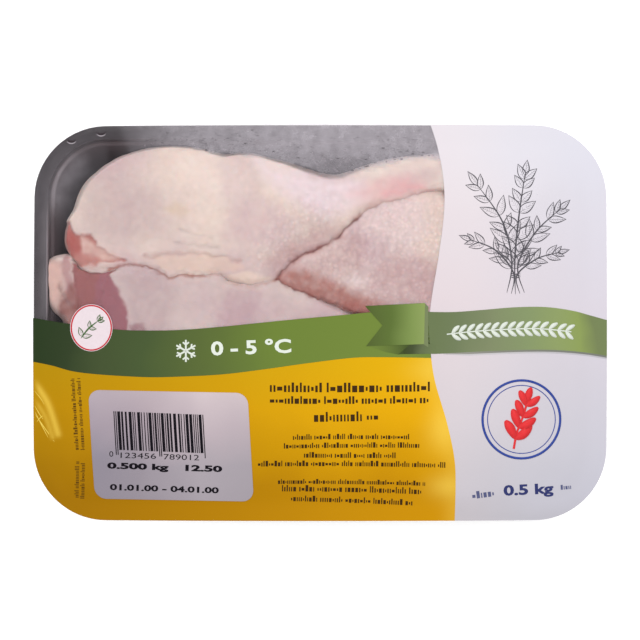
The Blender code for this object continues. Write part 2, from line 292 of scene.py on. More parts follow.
@dataclass(frozen=True)
class PackShape:
    """The outline of the pack and the surface of its film, as its solids have them."""

    length: float
    width: float
    rim: float
    corner: float = 28.5 * MM
    bow: float = 0.6 * MM
    flange: float = 5.6 * MM
    film_rise: float = 3.4 * MM
    film_ramp: float = 34 * MM
    film_skin: float = 0.12 * MM
    film_seal: float = 0.22 * MM
    film_slack: float = 0.45 * MM
    slack_run: float = 8 * MM
    pushes: tuple = (
        (-62 * MM, 40 * MM, 34 * MM, 1.2 * MM),
        (28 * MM, 26 * MM, 36 * MM, 1.0 * MM),
        (-40 * MM, -14 * MM, 34 * MM, 1.0 * MM),
    )

    @classmethod
    def from_solids(cls) -> "PackShape":
        """Reads the length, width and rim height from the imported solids."""
        low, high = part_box("lid_film")
        return cls(length=high.x - low.x, width=high.y - low.y, rim=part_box("tray")[1].z)

    def outline(self, inset: float, corner_steps: int = 20, side_steps: int = 16) -> list[Flat]:
        """Points of the pack's rounded outline, moved inwards by an inset."""
        half_x = self.length / 2 - self.bow - inset
        half_y = self.width / 2 - self.bow - inset
        radius = max(self.corner - inset, 4 * MM)
        points: list[Flat] = []
        for quarter in range(4):
            along_x = 1 if quarter in (0, 3) else -1
            along_y = 1 if quarter in (0, 1) else -1
            for step in range(corner_steps + 1):
                angle = math.radians(90 * (quarter + step / corner_steps))
                points.append(polar((along_x * (half_x - radius), along_y * (half_y - radius)), angle, radius))
            x0, y0 = points[-1]
            x1, y1 = (-x0, y0) if quarter in (0, 2) else (x0, -y0)
            shares = [step / side_steps for step in range(1, side_steps)]
            points += [(x0 + (x1 - x0) * share, y0 + (y1 - y0) * share) for share in shares]
        return [
            (
                x + self.bow * (x / half_x) * (1 - min(abs(y) / half_y, 1.0) ** 2),
                y + self.bow * (y / half_y) * (1 - min(abs(x) / half_x, 1.0) ** 2),
            )
            for x, y in points
        ]

    def depth(self, x: Array, y: Array, inset: float) -> Array:
        """How far points lie inside the rounded outline that is moved inwards by an inset."""
        radius = self.corner - inset
        over_x = np.abs(x) - (self.length / 2 - inset - radius)
        over_y = np.abs(y) - (self.width / 2 - inset - radius)
        outside = np.hypot(np.maximum(over_x, 0), np.maximum(over_y, 0))
        return radius - outside - np.minimum(np.maximum(over_x, over_y), 0)

    def film_top(self, x: Array, y: Array) -> Array:
        """Height of the film's upper face: sealed down on the flange, pushed up by the meat inside it."""
        depth = self.depth(x, y, self.flange)
        swell = sum(
            rise * np.exp(-((x - cx) ** 2 + (y - cy) ** 2) / (2 * spread**2))
            for cx, cy, spread, rise in self.pushes
        )
        rise = smoothstep(depth / self.film_ramp) * (self.film_rise + swell)
        slack = self.film_slack * smoothstep(depth / self.slack_run)
        return self.rim + self.film_seal + slack + rise

    def drape(self, mesh: Mesh, lift: float) -> None:
        """Lays a flat mesh on the film's upper face, raised by a lift."""
        points = read(mesh)
        points[:, 2] += self.film_top(points[:, 0], points[:, 1]) + lift
        set_points(mesh, points)

    def clip(self, outline: Sequence[Flat], inset: float) -> list[Flat]:
        """Cuts a closed outline off at the pack's own outline, moved inwards by an inset."""
        points = list(outline)
        edge = self.outline(inset)
        for (x0, y0), (x1, y1) in zip(edge, [*edge[1:], edge[0]]):
            kept: list[Flat] = []
            side = [(x1 - x0) * (y - y0) - (y1 - y0) * (x - x0) for x, y in points]
            for i, (x, y) in enumerate(points):
                j = (i + 1) % len(points)
                if side[i] >= 0:
                    kept.append((x, y))
                if (side[i] >= 0) != (side[j] >= 0):
                    t = side[i] / (side[i] - side[j])
                    kept.append((x + (points[j][0] - x) * t, y + (points[j][1] - y) * t))
            points = kept
        return points


def dense(outline: Sequence[Flat], spacing: float) -> list[Flat]:
    """A closed outline with points no further apart than a spacing, and none doubled."""
    points: list[Flat] = []
    for (x0, y0), (x1, y1) in zip(outline, [*outline[1:], outline[0]]):
        length = math.hypot(x1 - x0, y1 - y0)
        if length < 0.02 * MM:
            continue
        count = max(1, math.ceil(length / spacing))
        points += [(x0 + (x1 - x0) * k / count, y0 + (y1 - y0) * k / count) for k in range(count)]
    return points


def filled(outline: Sequence[Flat], spacing: float) -> tuple[Array, list[list[int]]]:
    """Triangulates an outline with a lattice of inner points, so that it can follow a curved surface.

    Args:
        outline: Corners of the closed outline.
        spacing: Distance between points.

    Returns:
        The flat points, and the triangles, each turning anticlockwise.
    """
    edge = dense(outline, spacing)
    low = np.min(edge, axis=0)
    high = np.max(edge, axis=0)
    columns = np.arange(math.floor(low[0] / spacing), math.ceil(high[0] / spacing) + 1)
    rows = np.arange(math.floor(low[1] / spacing), math.ceil(high[1] / spacing) + 1)
    grid_x, grid_y = (g.ravel() * spacing for g in np.meshgrid(columns, rows))
    keep = inside(grid_x, grid_y, edge) & (distance_to(grid_x, grid_y, edge, closed=True) > spacing * 0.4)
    inner = list(zip(grid_x[keep], grid_y[keep]))
    vectors = [Vector(p) for p in [*edge, *inner]]
    points, _, faces, *_ = geometry.delaunay_2d_cdt(vectors, [], [list(range(len(edge)))], 1, 1e-9)
    flat = np.array([tuple(p) for p in points])
    turned = []
    for face in faces:
        (ax, ay), (bx, by), (cx, cy) = flat[face]
        anticlockwise = (bx - ax) * (cy - ay) - (by - ay) * (cx - ax) > 0
        turned.append(list(face) if anticlockwise else list(face)[::-1])
    return flat, turned


def closed_sheet(flat: Array, faces: list[list[int]], low: Array, high: Array) -> tuple:
    """Gives a flat triangulation two faces at different heights and a wall round its edge.

    Args:
        flat: The flat points.
        faces: Triangles that turn anticlockwise.
        low: Height of the lower face at each point.
        high: Height of the upper face at each point.

    Returns:
        Points and faces of the closed sheet.
    """
    count = len(flat)
    points = np.vstack([np.column_stack([flat, low]), np.column_stack([flat, high])])
    made = [face[::-1] for face in faces]
    made += [[i + count for i in face] for face in faces]
    sides = {(a, b) for face in faces for a, b in zip(face, [*face[1:], face[0]])}
    made += [[a, b, b + count, a + count] for a, b in sides if (b, a) not in sides]
    return points, made


# Geometry Nodes tools for what repeats or follows a line

class NodeTool:
    """A Geometry Nodes tree with named inputs that turns a sketch of points and lines into a plain mesh."""

    def __init__(self, name: str, finish: Material, inputs: dict[str, tuple[str, object]]) -> None:
        """Makes the tree.

        Args:
            name: Name of the tree.
            finish: Material of what it makes.
            inputs: Socket type and value of each further input.
        """
        self.name = name
        self.inputs = {**inputs, "Finish": ("Material", finish)}
        self.tree = bpy.data.node_groups.new(name, "GeometryNodeTree")
        face = self.tree.interface
        face.new_socket("Sketch", in_out="INPUT", socket_type="NodeSocketGeometry")
        self.sockets = {
            label: face.new_socket(label, in_out="INPUT", socket_type=f"NodeSocket{kind}").identifier
            for label, (kind, _) in self.inputs.items()
        }
        face.new_socket("Result", in_out="OUTPUT", socket_type="NodeSocketGeometry")
        self.start = add(self.tree, "NodeGroupInput").outputs
        real = self.node("RealizeInstances", {"Geometry": self.draw()})["Geometry"]
        dressed = self.node("SetMaterial", {"Geometry": real, "Material": self.start["Finish"]})["Geometry"]
        add(self.tree, "NodeGroupOutput", {"Result": dressed})

    def node(self, kind: str, inputs: dict, **settings) -> bpy.types.NodeOutputs:
        """Adds a geometry node and gives its outputs."""
        return add(self.tree, f"GeometryNode{kind}", inputs, **settings).outputs

    def draw(self) -> NodeSocket:
        """Fills the tree and gives the geometry it makes; each tool has its own."""
        raise NotImplementedError

    def attribute(self, name: str, kind: str) -> NodeSocket:
        """A named attribute of the sketch, as a socket."""
        found = self.node("InputNamedAttribute", {"Name": name}, data_type=kind)
        return next(socket for socket in found if socket.enabled and socket.name == "Attribute")

    def upright(self, value: NodeSocket) -> NodeSocket:
        """A vector along Z of a given length."""
        return add(self.tree, "ShaderNodeCombineXYZ", {"Z": value}).outputs["Vector"]

    def grow(self, name: str, sketch: Mesh) -> Object:
        """Runs the tree on a sketch.

        Args:
            name: Name of the object.
            sketch: Mesh that holds the points or lines and their attributes.

        Returns:
            An object with the plain result as its mesh.
        """
        obj = new_object(name, sketch)
        modifier = obj.modifiers.new(self.name, "NODES")
        modifier.node_group = self.tree
        for label, identifier in self.sockets.items():
            modifier[identifier] = self.inputs[label][1]
        plain = evaluated_copy(obj)
        obj.modifiers.clear()
        obj.data = plain
        return obj


class BlockPress(NodeTool):
    """Sets a small flat block on each point, sized and turned by the point: type and bars."""

    def __init__(self, finish: Material, thickness: float) -> None:
        """Makes the tree for one finish and one height of block."""
        half = math.pi / 4
        super().__init__("block_press", finish, {
            "Thickness": ("Float", thickness), "Corners": ("Int", 4), "Radius": ("Float", 0.5 / math.cos(half)),
            "First Corner": ("Float", half),
        })

    def draw(self) -> NodeSocket:
        """Instances one short cylinder of four sides on the points."""
        start = self.start
        block = self.node("MeshCylinder", {
            "Vertices": start["Corners"], "Radius": start["Radius"], "Depth": start["Thickness"],
        })["Mesh"]
        lift = add(self.tree, "ShaderNodeMath", {0: start["Thickness"], 1: 0.5}, operation="MULTIPLY").outputs["Value"]
        squared = self.node("Transform", {
            "Geometry": block, "Rotation": self.upright(start["First Corner"]), "Translation": self.upright(lift),
        })["Geometry"]
        return self.node("InstanceOnPoints", {
            "Points": start["Sketch"], "Instance": squared, "Rotation": self.upright(self.attribute("turn", "FLOAT")),
            "Scale": self.attribute("size", "FLOAT_VECTOR"),
        })["Instances"]

    def press(self, name: str, blocks: Sequence[Sequence[float]]) -> Object:
        """Presses blocks, each given as x, y, width, height and turn, in metres and radians."""
        rows = np.array(blocks, float)
        sketch = new_mesh(name, [(x, y, 0.0) for x, y in rows[:, :2]])
        write(sketch, "size", np.column_stack([rows[:, 2:4], np.ones(len(rows))]), "FLOAT_VECTOR")
        write(sketch, "turn", rows[:, 4])
        return self.grow(name, sketch)


class LineGraver(NodeTool):
    """Sweeps each drawn line into a flat stroke that swells and tapers with its width."""

    def __init__(self, finish: Material) -> None:
        """Makes the tree for one finish."""
        super().__init__("line_graver", finish, {"Flatness": ("Float", 0.16)})

    def draw(self) -> NodeSocket:
        """Sweeps a flat rectangle along the lines."""
        lines = self.node("MeshToCurve", {"Mesh": self.start["Sketch"]})["Curve"]
        level = self.node("SetCurveNormal", {"Curve": lines}, mode="Z_UP")["Curve"]
        section = self.node("CurvePrimitiveQuadrilateral", {"Width": 1.0, "Height": self.start["Flatness"]})["Curve"]
        return self.node("CurveToMesh", {
            "Curve": level, "Profile Curve": section, "Scale": self.attribute("width", "FLOAT"), "Fill Caps": True,
        })["Mesh"]

    def engrave(self, name: str, strokes: Sequence[Stroke]) -> Object:
        """Engraves strokes, each a line of (x, y, width) points in metres."""
        points = [point for line in strokes for point in line]
        starts = np.cumsum([0, *map(len, strokes)])
        edges = [(int(a) + i, int(a) + i + 1) for a, line in zip(starts, strokes) for i in range(len(line) - 1)]
        sketch = new_mesh(name, [(x, y, 0.0) for x, y, _ in points], edges)
        write(sketch, "width", [width for *_, width in points])
        return self.grow(name, sketch)


class DropletSprinkler(NodeTool):
    """Hangs small flattened water drops under a sheet, thickest where its drops attribute is strong."""

    def __init__(self, finish: Material, spacing: float, smallest: float, largest: float, seed: int) -> None:
        """Makes the tree for one finish and one size of drop."""
        super().__init__("droplet_sprinkler", finish, {
            "Spacing": ("Float", spacing), "Smallest": ("Float", smallest), "Largest": ("Float", largest),
            "Seed": ("Int", seed),
        })

    def draw(self) -> NodeSocket:
        """Scatters the drops."""
        start = self.start
        spread = self.node("DistributePointsOnFaces", {
            "Mesh": start["Sketch"], "Distance Min": start["Spacing"], "Density Max": 4.0e6,
            "Density Factor": self.attribute("drops", "FLOAT"), "Seed": start["Seed"],
        }, distribute_method="POISSON")["Points"]
        drop = self.node("MeshIcoSphere", {"Radius": 1.0, "Subdivisions": 2})["Mesh"]
        size = add(self.tree, "FunctionNodeRandomValue", {
            "Min": start["Smallest"], "Max": start["Largest"], "Seed": start["Seed"],
        }, data_type="FLOAT_VECTOR").outputs["Value"]
        flat = add(self.tree, "ShaderNodeVectorMath", {0: size, 1: (1.45, 0.62, 0.3)}, operation="MULTIPLY")
        return self.node("InstanceOnPoints", {
            "Points": spread, "Instance": self.node("SetShadeSmooth", {"Geometry": drop})["Geometry"],
            "Scale": flat.outputs["Vector"],
        })["Instances"]


# Finishes

class Bench:
    """A material's node tree, with short calls for the nodes that the finishes use."""

    def __init__(self, tree: NodeTree) -> None:
        """Takes over the tree of a new material."""
        self.tree = tree
        self.place = self.node("TexCoord")["Object"]

    def node(self, kind: str, inputs: dict | None = None, **settings) -> bpy.types.NodeOutputs:
        """Adds a shader node and gives its outputs."""
        return add(self.tree, f"ShaderNode{kind}", inputs, **settings).outputs

    def mark(self, name: str) -> bpy.types.NodeOutputs:
        """The outputs of a mesh attribute."""
        return self.node("Attribute", attribute_name=name)

    def cloud(self, scale: float, detail: float, roughness: float = 0.5) -> NodeSocket:
        """Noise with a given number of features in a metre."""
        return self.node("TexNoise", {
            "Vector": self.place, "Scale": scale, "Detail": detail, "Roughness": roughness,
        })["Fac"]

    def span(self, value: NodeSocket, source: Flat, target: Flat = (0.0, 1.0), **settings) -> NodeSocket:
        """A value's run over the source range, spread over the target range."""
        return self.node("MapRange", {
            "Value": value, "From Min": source[0], "From Max": source[1], "To Min": target[0], "To Max": target[1],
        }, **settings)["Result"]

    def sum(self, operation: str, *values: NodeSocket | float) -> NodeSocket:
        """One sum of two or three numbers."""
        return self.node("Math", dict(enumerate(values)), operation=operation)["Value"]

    def times(self, colour: NodeSocket, factor: NodeSocket) -> NodeSocket:
        """A colour, multiplied by another one or by a number."""
        return self.node("VectorMath", {0: colour, 1: factor}, operation="MULTIPLY")["Vector"]

    def mix(self, share: NodeSocket, under: NodeSocket, over: str) -> NodeSocket:
        """A colour, mixed with a hex colour by a share."""
        return self.node("Mix", {"Factor": share, 6: under, 7: linear(over)}, data_type="RGBA")[2]

    def ramp(self, value: NodeSocket, *stops: tuple[float, str]) -> NodeSocket:
        """The colour at a value from 0 to 1 in a run of hex colours."""
        ramp = add(self.tree, "ShaderNodeValToRGB", {"Fac": value})
        marks = ramp.color_ramp.elements
        while len(marks) < len(stops):
            marks.new(0.5)
        for mark, (at, code) in zip(marks, stops):
            mark.position = at
            mark.color = linear(code)
        return ramp.outputs["Color"]

    def bump(self, height: NodeSocket, strength: float, distance: float) -> NodeSocket:
        """The normal of a surface with a fine relief."""
        return self.node("Bump", {"Height": height, "Strength": strength, "Distance": distance})["Normal"]

    def shade(self, colour: NodeSocket, roughness: float, **inputs) -> None:
        """Feeds the Principled BSDF; an underscore stands for a space in the name of an input."""
        named = {name.replace("_", " "): value for name, value in inputs.items()}
        feed(self.tree.nodes["Principled BSDF"], {"Base Color": colour, "Roughness": roughness, **named})


@dataclass(frozen=True)
class Finish:
    """What every finish has: the name of the real material and how it was made."""

    name: str

    def build(self) -> Material:
        """Makes the material."""
        made = bpy.data.materials.new(self.name)
        made.use_nodes = True
        self.draw(Bench(made.node_tree))
        return made

    def draw(self, bench: Bench) -> None:
        """Fills the material's tree; each finish has its own."""
        raise NotImplementedError


@dataclass(frozen=True)
class ThermoformedPlastic(Finish):
    """Black-brown polypropylene sheet, vacuum formed: a soft satin gloss over a faint orange peel."""

    colour: str = "#483e41"
    streak: str = "#554b4e"
    # Colour painted on the flange, darker than the wall to offset the wall's shade
    flange: str = "#292326"
    # Colour of the painted highlight on the flange's inner edge and the step
    highlight_tone: str = "#b9b0b6"

    def draw(self, bench: Bench) -> None:
        """Draws the sheet; the mesh's attribute of painted highlights tells where it is painted paler."""
        # Sheet that was stretched over the mould varies in tone over about 20 mm
        sheet = bench.ramp(bench.cloud(50.0, 3.0), (0.35, self.colour), (0.7, self.streak))
        # Painted light: the flange is painted darker than the wall below it, which keeps the lighter sheet colour to
        # make up for the shade it lies in
        height = bench.node("SeparateXYZ", {0: bench.place})["Z"]
        sheet = bench.mix(bench.span(height, (0.0405, 0.0445)), sheet, self.flange)
        # Painted highlight: the flange's inner edge and the step are painted paler, where their rounded edges would
        # catch the light
        tone = bench.mix(bench.mark("rim_highlight")["Fac"], sheet, self.highlight_tone)
        # Orange peel of 0.8 mm, drawn a little coarser than real so that it shows
        bench.shade(tone, 0.38, IOR=1.49, Normal=bench.bump(bench.cloud(1250.0, 2.0), 0.25, 0.0001))


@dataclass(frozen=True)
class ClearFilm(Finish):
    """Blown polyethylene lidding film: clear and glossy, with a breath of condensation along its upper side, an even
    painted reflection, and painted light over the tray's shaded upper left corner.
    """

    # Colour of the pale diffuse layer: condensation, and painted light over the tray's shaded corner
    mist_and_light: str = "#cfc8d0"
    # Painted reflection: an even pale veil over the whole film that stands in for the reflection of the bright studio
    reflection_veil: float = 0.012

    def draw(self, bench: Bench) -> None:
        """Draws a see-through sheet with a mirror gloss, misted and lightened as the mesh's attribute of condensation
        and painted light says.
        """
        bench.tree.nodes.remove(bench.tree.nodes["Principled BSDF"])
        # Share of the pale layer, varied in patches: condensation, and painted light at the upper left corner, over the
        # even painted reflection
        spread = bench.span(bench.cloud(260.0, 5.0, 0.62), (0.35, 0.65), (0.175, 0.265))
        pale_share = bench.sum("ADD", bench.sum("MULTIPLY", bench.mark("mist_and_light")["Fac"], spread), self.reflection_veil)
        relief = bench.bump(bench.cloud(70.0, 2.0), 0.35, 0.0006)
        white = (1.0, 1.0, 1.0, 1.0)
        clear = bench.node("BsdfTransparent", {"Color": white})[0]
        gloss = bench.node("BsdfGlossy", {"Color": white, "Roughness": 0.09, "Normal": relief})[0]
        # Only the side that faces the eye mirrors, as light isn't bent inside the thin sheet
        outer = bench.sum("SUBTRACT", 1.0, bench.node("NewGeometry")["Backfacing"])
        mirror = bench.sum("MULTIPLY", bench.node("Fresnel", {"IOR": 1.45, "Normal": relief})["Fac"], outer)
        sheet = bench.node("MixShader", {0: mirror, 1: clear, 2: gloss})[0]
        # The pale diffuse layer of condensation and painted light
        pale_layer = bench.node("BsdfDiffuse", {"Color": linear(self.mist_and_light)})[0]
        whole = bench.node("MixShader", {0: pale_share, 1: sheet, 2: pale_layer})[0]
        feed(bench.tree.nodes["Material Output"], {"Surface": whole})


class Axis(Enum):
    """The way that a fade runs across the pack."""

    ALONG = "X"
    ACROSS = "Y"


@dataclass(frozen=True)
class Fade:
    """A run of colours along one axis, each at its place in millimetres."""

    axis: Axis
    stops: tuple[tuple[float, str], ...]

    def colour(self, bench: Bench) -> NodeSocket:
        """The fade's colour at each point, wandering a little as a hand-set press does."""
        start, end = self.stops[0][0], self.stops[-1][0]
        value = bench.node("SeparateXYZ", {"Vector": bench.place})[self.axis.value]
        moved = bench.sum("ADD", value, bench.span(bench.cloud(32.0, 2.0), (0.0, 1.0), (-0.010, 0.010)))
        share = bench.span(moved, (start * MM, end * MM))
        return bench.ramp(share, *(((at - start) / (end - start), code) for at, code in self.stops))


PLAIN = Fade(Axis.ALONG, ((-115.0, "#ffffff"), (115.0, "#ffffff")))


@dataclass(frozen=True)
class FlexoInk(Finish):
    """Flexographic ink behind clear film: even colour that fades across the print, under a soft gloss."""

    fade: Fade
    tint: Fade = PLAIN
    density: float = 0.80
    # Colour of the painted highlight along the film's creases and the panel's edge, if any
    stretched: str | None = None

    def tone(self, bench: Bench) -> NodeSocket:
        """The two fades over each other, as dense as the ink was laid."""
        inked = bench.times(self.fade.colour(bench), self.tint.colour(bench))
        if self.stretched:
            # Painted highlight: the ink is painted paler along the film's creases and by the white panel's edge, where
            # the film catches the light
            inked = bench.mix(bench.mark("stretch")["Fac"], inked, self.stretched)
        return bench.node("VectorMath", {0: inked, "Scale": self.density}, operation="SCALE")["Vector"]

    def draw(self, bench: Bench) -> None:
        """Draws the ink and the film's ripple over it."""
        relief = bench.bump(bench.cloud(70.0, 2.0), 0.35, 0.0006)
        bench.shade(self.tone(bench), 0.34, Specular_IOR_Level=0.10, IOR=1.5, Normal=relief)


@dataclass(frozen=True)
class ThermalPaper(FlexoInk):
    """Coated label paper: almost matt, with a fine mottle, and painted shade that darkens it towards its lower edge and
    its left end.
    """

    # Painted shade: darker towards the label's lower edge and its left end
    fade: Fade = Fade(Axis.ACROSS, ((-72.0, "#a9a0a8"), (-55.0, "#aea5ad"), (-42.0, "#c0b1b8"), (-27.0, "#d3c3c7")))
    tint: Fade = Fade(Axis.ALONG, ((-93.0, "#dadae2"), (-70.0, "#e6e4e8"), (-45.0, "#ffffff"), (-26.0, "#fafafa")))
    density: float = 0.84

    def draw(self, bench: Bench) -> None:
        """Draws the paper and its fibres."""
        bench.shade(self.tone(bench), 0.46, Normal=bench.bump(bench.cloud(2500.0, 2.0), 0.15, 0.00005))


@dataclass(frozen=True)
class RawSkin(Finish):
    """Plucked raw poultry: wet translucent skin with pores, over the tones painted on the mesh."""

    pore: float = 1.7 * MM
    grain: float = 0.7

    def draw(self, bench: Bench) -> None:
        """Draws the skin. The mesh's tone attribute gives the colour, and its pores attribute the bumps."""
        pores = bench.mark("pores")["Fac"]
        speck = bench.cloud(420.0, 4.0, 0.65)
        colour = bench.times(bench.mark("tone")["Color"], bench.span(speck, (0.3, 0.7), (0.94, 1.05)))
        cells = bench.node("TexVoronoi", {"Vector": bench.place, "Scale": 1 / self.pore})["Distance"]
        soft = bench.span(cells, (0.0, 0.7), (1.0, 0.0), interpolation_type="SMOOTHSTEP")
        # Each pore's rise is paler, and the skin between the rises is darker and redder
        rise = bench.sum("MULTIPLY_ADD", soft, 0.13, -0.06)
        dotted = bench.times(colour, bench.sum("MULTIPLY_ADD", rise, pores, 1.0))
        fine = bench.sum("MULTIPLY_ADD", speck, self.grain, bench.sum("MULTIPLY", soft, pores))
        bench.shade(
            dotted, 0.46, Specular_IOR_Level=0.24, IOR=1.4, Normal=bench.bump(fine, 0.6, 0.00030),
            Sheen_Weight=0.35, Sheen_Roughness=0.55, Sheen_Tint=linear("#ffe9e2"),
            Subsurface_Weight=0.35, Subsurface_Radius=(1.0, 0.36, 0.22), Subsurface_Scale=0.0022,
        )


@dataclass(frozen=True)
class PlainInk(Finish):
    """A small printed or thermal mark in one colour, with the press's faint unevenness; also used for painted glints,
    shadows and highlights on the film.
    """

    colour: str
    faded: str

    def draw(self, bench: Bench) -> None:
        """Draws the ink."""
        tone = bench.ramp(bench.cloud(900.0, 3.0), (0.0, self.colour), (1.0, self.faded))
        bench.shade(tone, 0.35, Specular_IOR_Level=0.15)


@dataclass(frozen=True)
class WaterDrop(Finish):
    """Condensed water: half clear, painted in darker and paler greys in patches in place of the light that clear drops
    bend, with a gloss on each drop.
    """

    def draw(self, bench: Bench) -> None:
        """Draws the water."""
        # Painted light: grey tones in patches stand in for the light that the clear drops bend
        tone = bench.ramp(bench.cloud(400.0, 1.0), (0.46, "#4c4549"), (0.62, "#9a9197"))
        bench.shade(tone, 0.3, IOR=1.33, Specular_IOR_Level=0.15, Alpha=0.5)


# The tray

@dataclass
class Tray:
    """The thermoformed tray: a flat sealing flange with a lip, a stacking step, sloped walls and a foot ring."""

    shape: PackShape
    finish: Material
    wall: float = 1.1 * MM
    gap: float = 0.3 * MM
    lip: float = 1.6 * MM
    step_depth: float = 6.0 * MM
    step_width: float = 1.4 * MM
    step_lean: float = 0.6 * MM
    step_fall: float = 0.8 * MM
    draft: float = 10.5 * MM
    base_radius: float = 9.5 * MM
    base_squeeze: float = 0.8
    foot_width: float = 8.0 * MM
    foot_height: float = 1.2 * MM
    foot_ramp: float = 2.2 * MM
    bead_inset: float = 16 * MM
    bead_width: float = 3.0 * MM

    def inner_line(self) -> list[Flat]:
        """(inset, height) pairs from the flange's inner edge down the inside to the middle of the floor."""
        rim = self.shape.rim
        ledge = self.shape.flange + self.step_lean
        top = ledge + self.step_width
        foot = top + self.draft
        step_z = rim - self.step_depth
        flange = self.shape.flange
        line = [
            (flange - 0.5 * MM, rim),
            (flange - 0.1 * MM, rim - 0.12 * MM),
            (flange + 0.12 * MM, rim - 0.6 * MM),
            (ledge - 0.1 * MM, step_z + 0.8 * MM),
            (ledge + 0.15 * MM, step_z),
            (ledge + 0.5 * MM, step_z - 0.35 * MM),
            (top - 0.3 * MM, step_z - self.step_fall + 0.15 * MM),
            (top + 0.1 * MM, step_z - self.step_fall - 0.35 * MM),
            (top + 0.55 * MM, step_z - self.step_fall - 1.4 * MM),
        ]
        for turn in range(9):
            angle = math.radians(14 + 9.5 * turn)
            line.append((
                foot + self.base_radius * (1 - math.cos(angle)) * self.base_squeeze,
                self.wall + self.base_radius * (1 - math.sin(angle)),
            ))
        foot_inner = foot + self.base_radius * self.base_squeeze + self.foot_width
        floor = self.foot_height + self.wall
        bead = foot_inner + self.bead_inset
        line += [
            (foot_inner - 0.6 * MM, self.wall),
            (foot_inner, self.wall + 0.1 * MM),
            (foot_inner + self.foot_ramp, floor - 0.1 * MM),
            (foot_inner + self.foot_ramp + 0.6 * MM, floor),
            (bead, floor),
        ]
        shares = [step / 6 for step in range(1, 6)]
        line += [(bead + self.bead_width * share, floor - 0.7 * MM * math.sin(math.pi * share)) for share in shares]
        return [*line, (bead + self.bead_width, floor)]

    def profile(self) -> list[Flat]:
        """(inset, height) pairs of the whole wall: up the inside, over the flange and down the outside."""
        within = self.inner_line()
        outside = []
        for number in range(3, len(within)):
            (x0, z0), (x1, z1) = within[number - 1], within[min(number + 1, len(within) - 1)]
            run = math.hypot(x1 - x0, z1 - z0)
            thick = self.wall if within[number][1] > self.base_radius * 0.5 else self.wall * 0.9
            inset = within[number][0] + (z1 - z0) / run * thick
            outside.append((inset, max(within[number][1] - (x1 - x0) / run * thick, 0.0)))
        rim = self.shape.rim
        lip = [
            (self.gap + 0.25 * MM, rim),
            (self.gap, rim - 0.25 * MM),
            (self.gap, rim - self.lip),
            (self.gap + self.wall * 0.7, rim - self.lip),
            (self.gap + self.wall * 0.7, rim - self.wall),
            (self.shape.flange - self.wall - 0.3 * MM, rim - self.wall),
            (self.shape.flange - self.wall * 0.8, rim - self.wall - 0.5 * MM),
        ]
        return [*reversed(within), *lip, *outside]

    def highlight_of(self, inset: float, height: float) -> tuple[float, float]:
        """How strongly the painted highlight pales the plastic at a place of the profile: at the flange's inner edge,
        and on the step.
        """
        rim = self.shape.rim
        at_rim = bell(inset - self.shape.flange, 0.45 * MM) * (height > rim - 1.4 * MM)
        at_step = bell(height - rim + self.step_depth + self.step_fall, 0.8 * MM)
        return 0.72 * at_rim, 0.5 * at_step * (inset < 12 * MM)

    def build(self) -> Object:
        """Lofts the profile round the outline."""
        profile = self.profile()
        points = [(x, y, height) for inset, height in profile for x, y in self.shape.outline(inset, 14, 12)]
        count = len(points) // len(profile)
        last = len(points) - count
        faces = [
            (low + i, low + (i + 1) % count, low + count + (i + 1) % count, low + count + i)
            for low in range(0, last, count) for i in range(count)
        ]
        faces += [tuple(range(count)), tuple(last + i for i in reversed(range(count)))]
        obj = mesh_piece("thermoformed_tray", points, faces, self.finish)
        spots = np.array(points)
        patchy = np.clip(0.75 + 0.9 * wave(spots, 16 * MM, 6.0), 0.25, 1.0)
        at_rim, at_step = np.repeat([self.highlight_of(*place) for place in profile], count, axis=0).T
        # The painted highlight lies on the flange's edge along a side, and on the step round a corner
        x, y, _ = np.abs(spots).T / MM
        along_side = smoothstep((49 - y) / 7)
        in_corner = smoothstep((y - 42) / 9) * smoothstep((x - 96) / 7)
        level = at_rim * (0.15 + 0.85 * along_side) + at_step * (0.15 + 0.85 * in_corner)
        write(obj.data, "rim_highlight", level * patchy)
        tidied(obj.data)
        return add_piece(obj, "charcoal_plastic", "tray")


# The meat

@dataclass(frozen=True)
class Lump:
    """An ellipsoid: centre and half axes in millimetres, turned by degrees round X, Y and Z."""

    centre: tuple[float, float, float]
    radii: tuple[float, float, float]
    turn: tuple[float, float, float] = (0.0, 0.0, 0.0)

    def add_to(self, bm: bmesh.types.BMesh) -> None:
        """Adds the ellipsoid to a mesh."""
        angles = Euler([math.radians(angle) for angle in self.turn]).to_matrix().to_4x4()
        size = Matrix.Diagonal((*(r * MM for r in self.radii), 1.0))
        place = Matrix.Translation([c * MM for c in self.centre]) @ angles @ size
        bmesh.ops.create_icosphere(bm, subdivisions=4, radius=1.0, matrix=place)


@dataclass(frozen=True)
class Limb:
    """A tapering, round-ended limb through (x, y, z, radius) stations in millimetres."""

    stations: tuple[tuple[float, float, float, float], ...]
    flatten: float = 0.85
    sides: int = 28

    def add_to(self, bm: bmesh.types.BMesh) -> None:
        """Adds the limb to a mesh."""
        path = curve_through(in_mm(self.stations), 6)
        loops = []
        for i, (x, y, z, radius) in enumerate(path):
            ahead = Vector(path[min(i + 1, len(path) - 1)][:3]) - Vector(path[max(i - 1, 0)][:3])
            across = Vector((-ahead.y, ahead.x, 0.0)).normalized()
            up = ahead.cross(across).normalized() * self.flatten
            turns = [2 * math.pi * k / self.sides for k in range(self.sides)]
            loops.append([
                bm.verts.new(Vector((x, y, z)) + radius * (across * math.cos(a) + up * math.sin(a))) for a in turns
            ])
        for low, high in zip(loops, loops[1:]):
            for k in range(self.sides):
                j = (k + 1) % self.sides
                bm.faces.new((low[k], low[j], high[j], high[k]))
        for end in (loops[0], loops[-1]):
            bm.faces.new(end)
        for x, y, z, r in (self.stations[0], self.stations[-1]):
            Lump((x, y, z), (r, r, r * self.flatten)).add_to(bm)


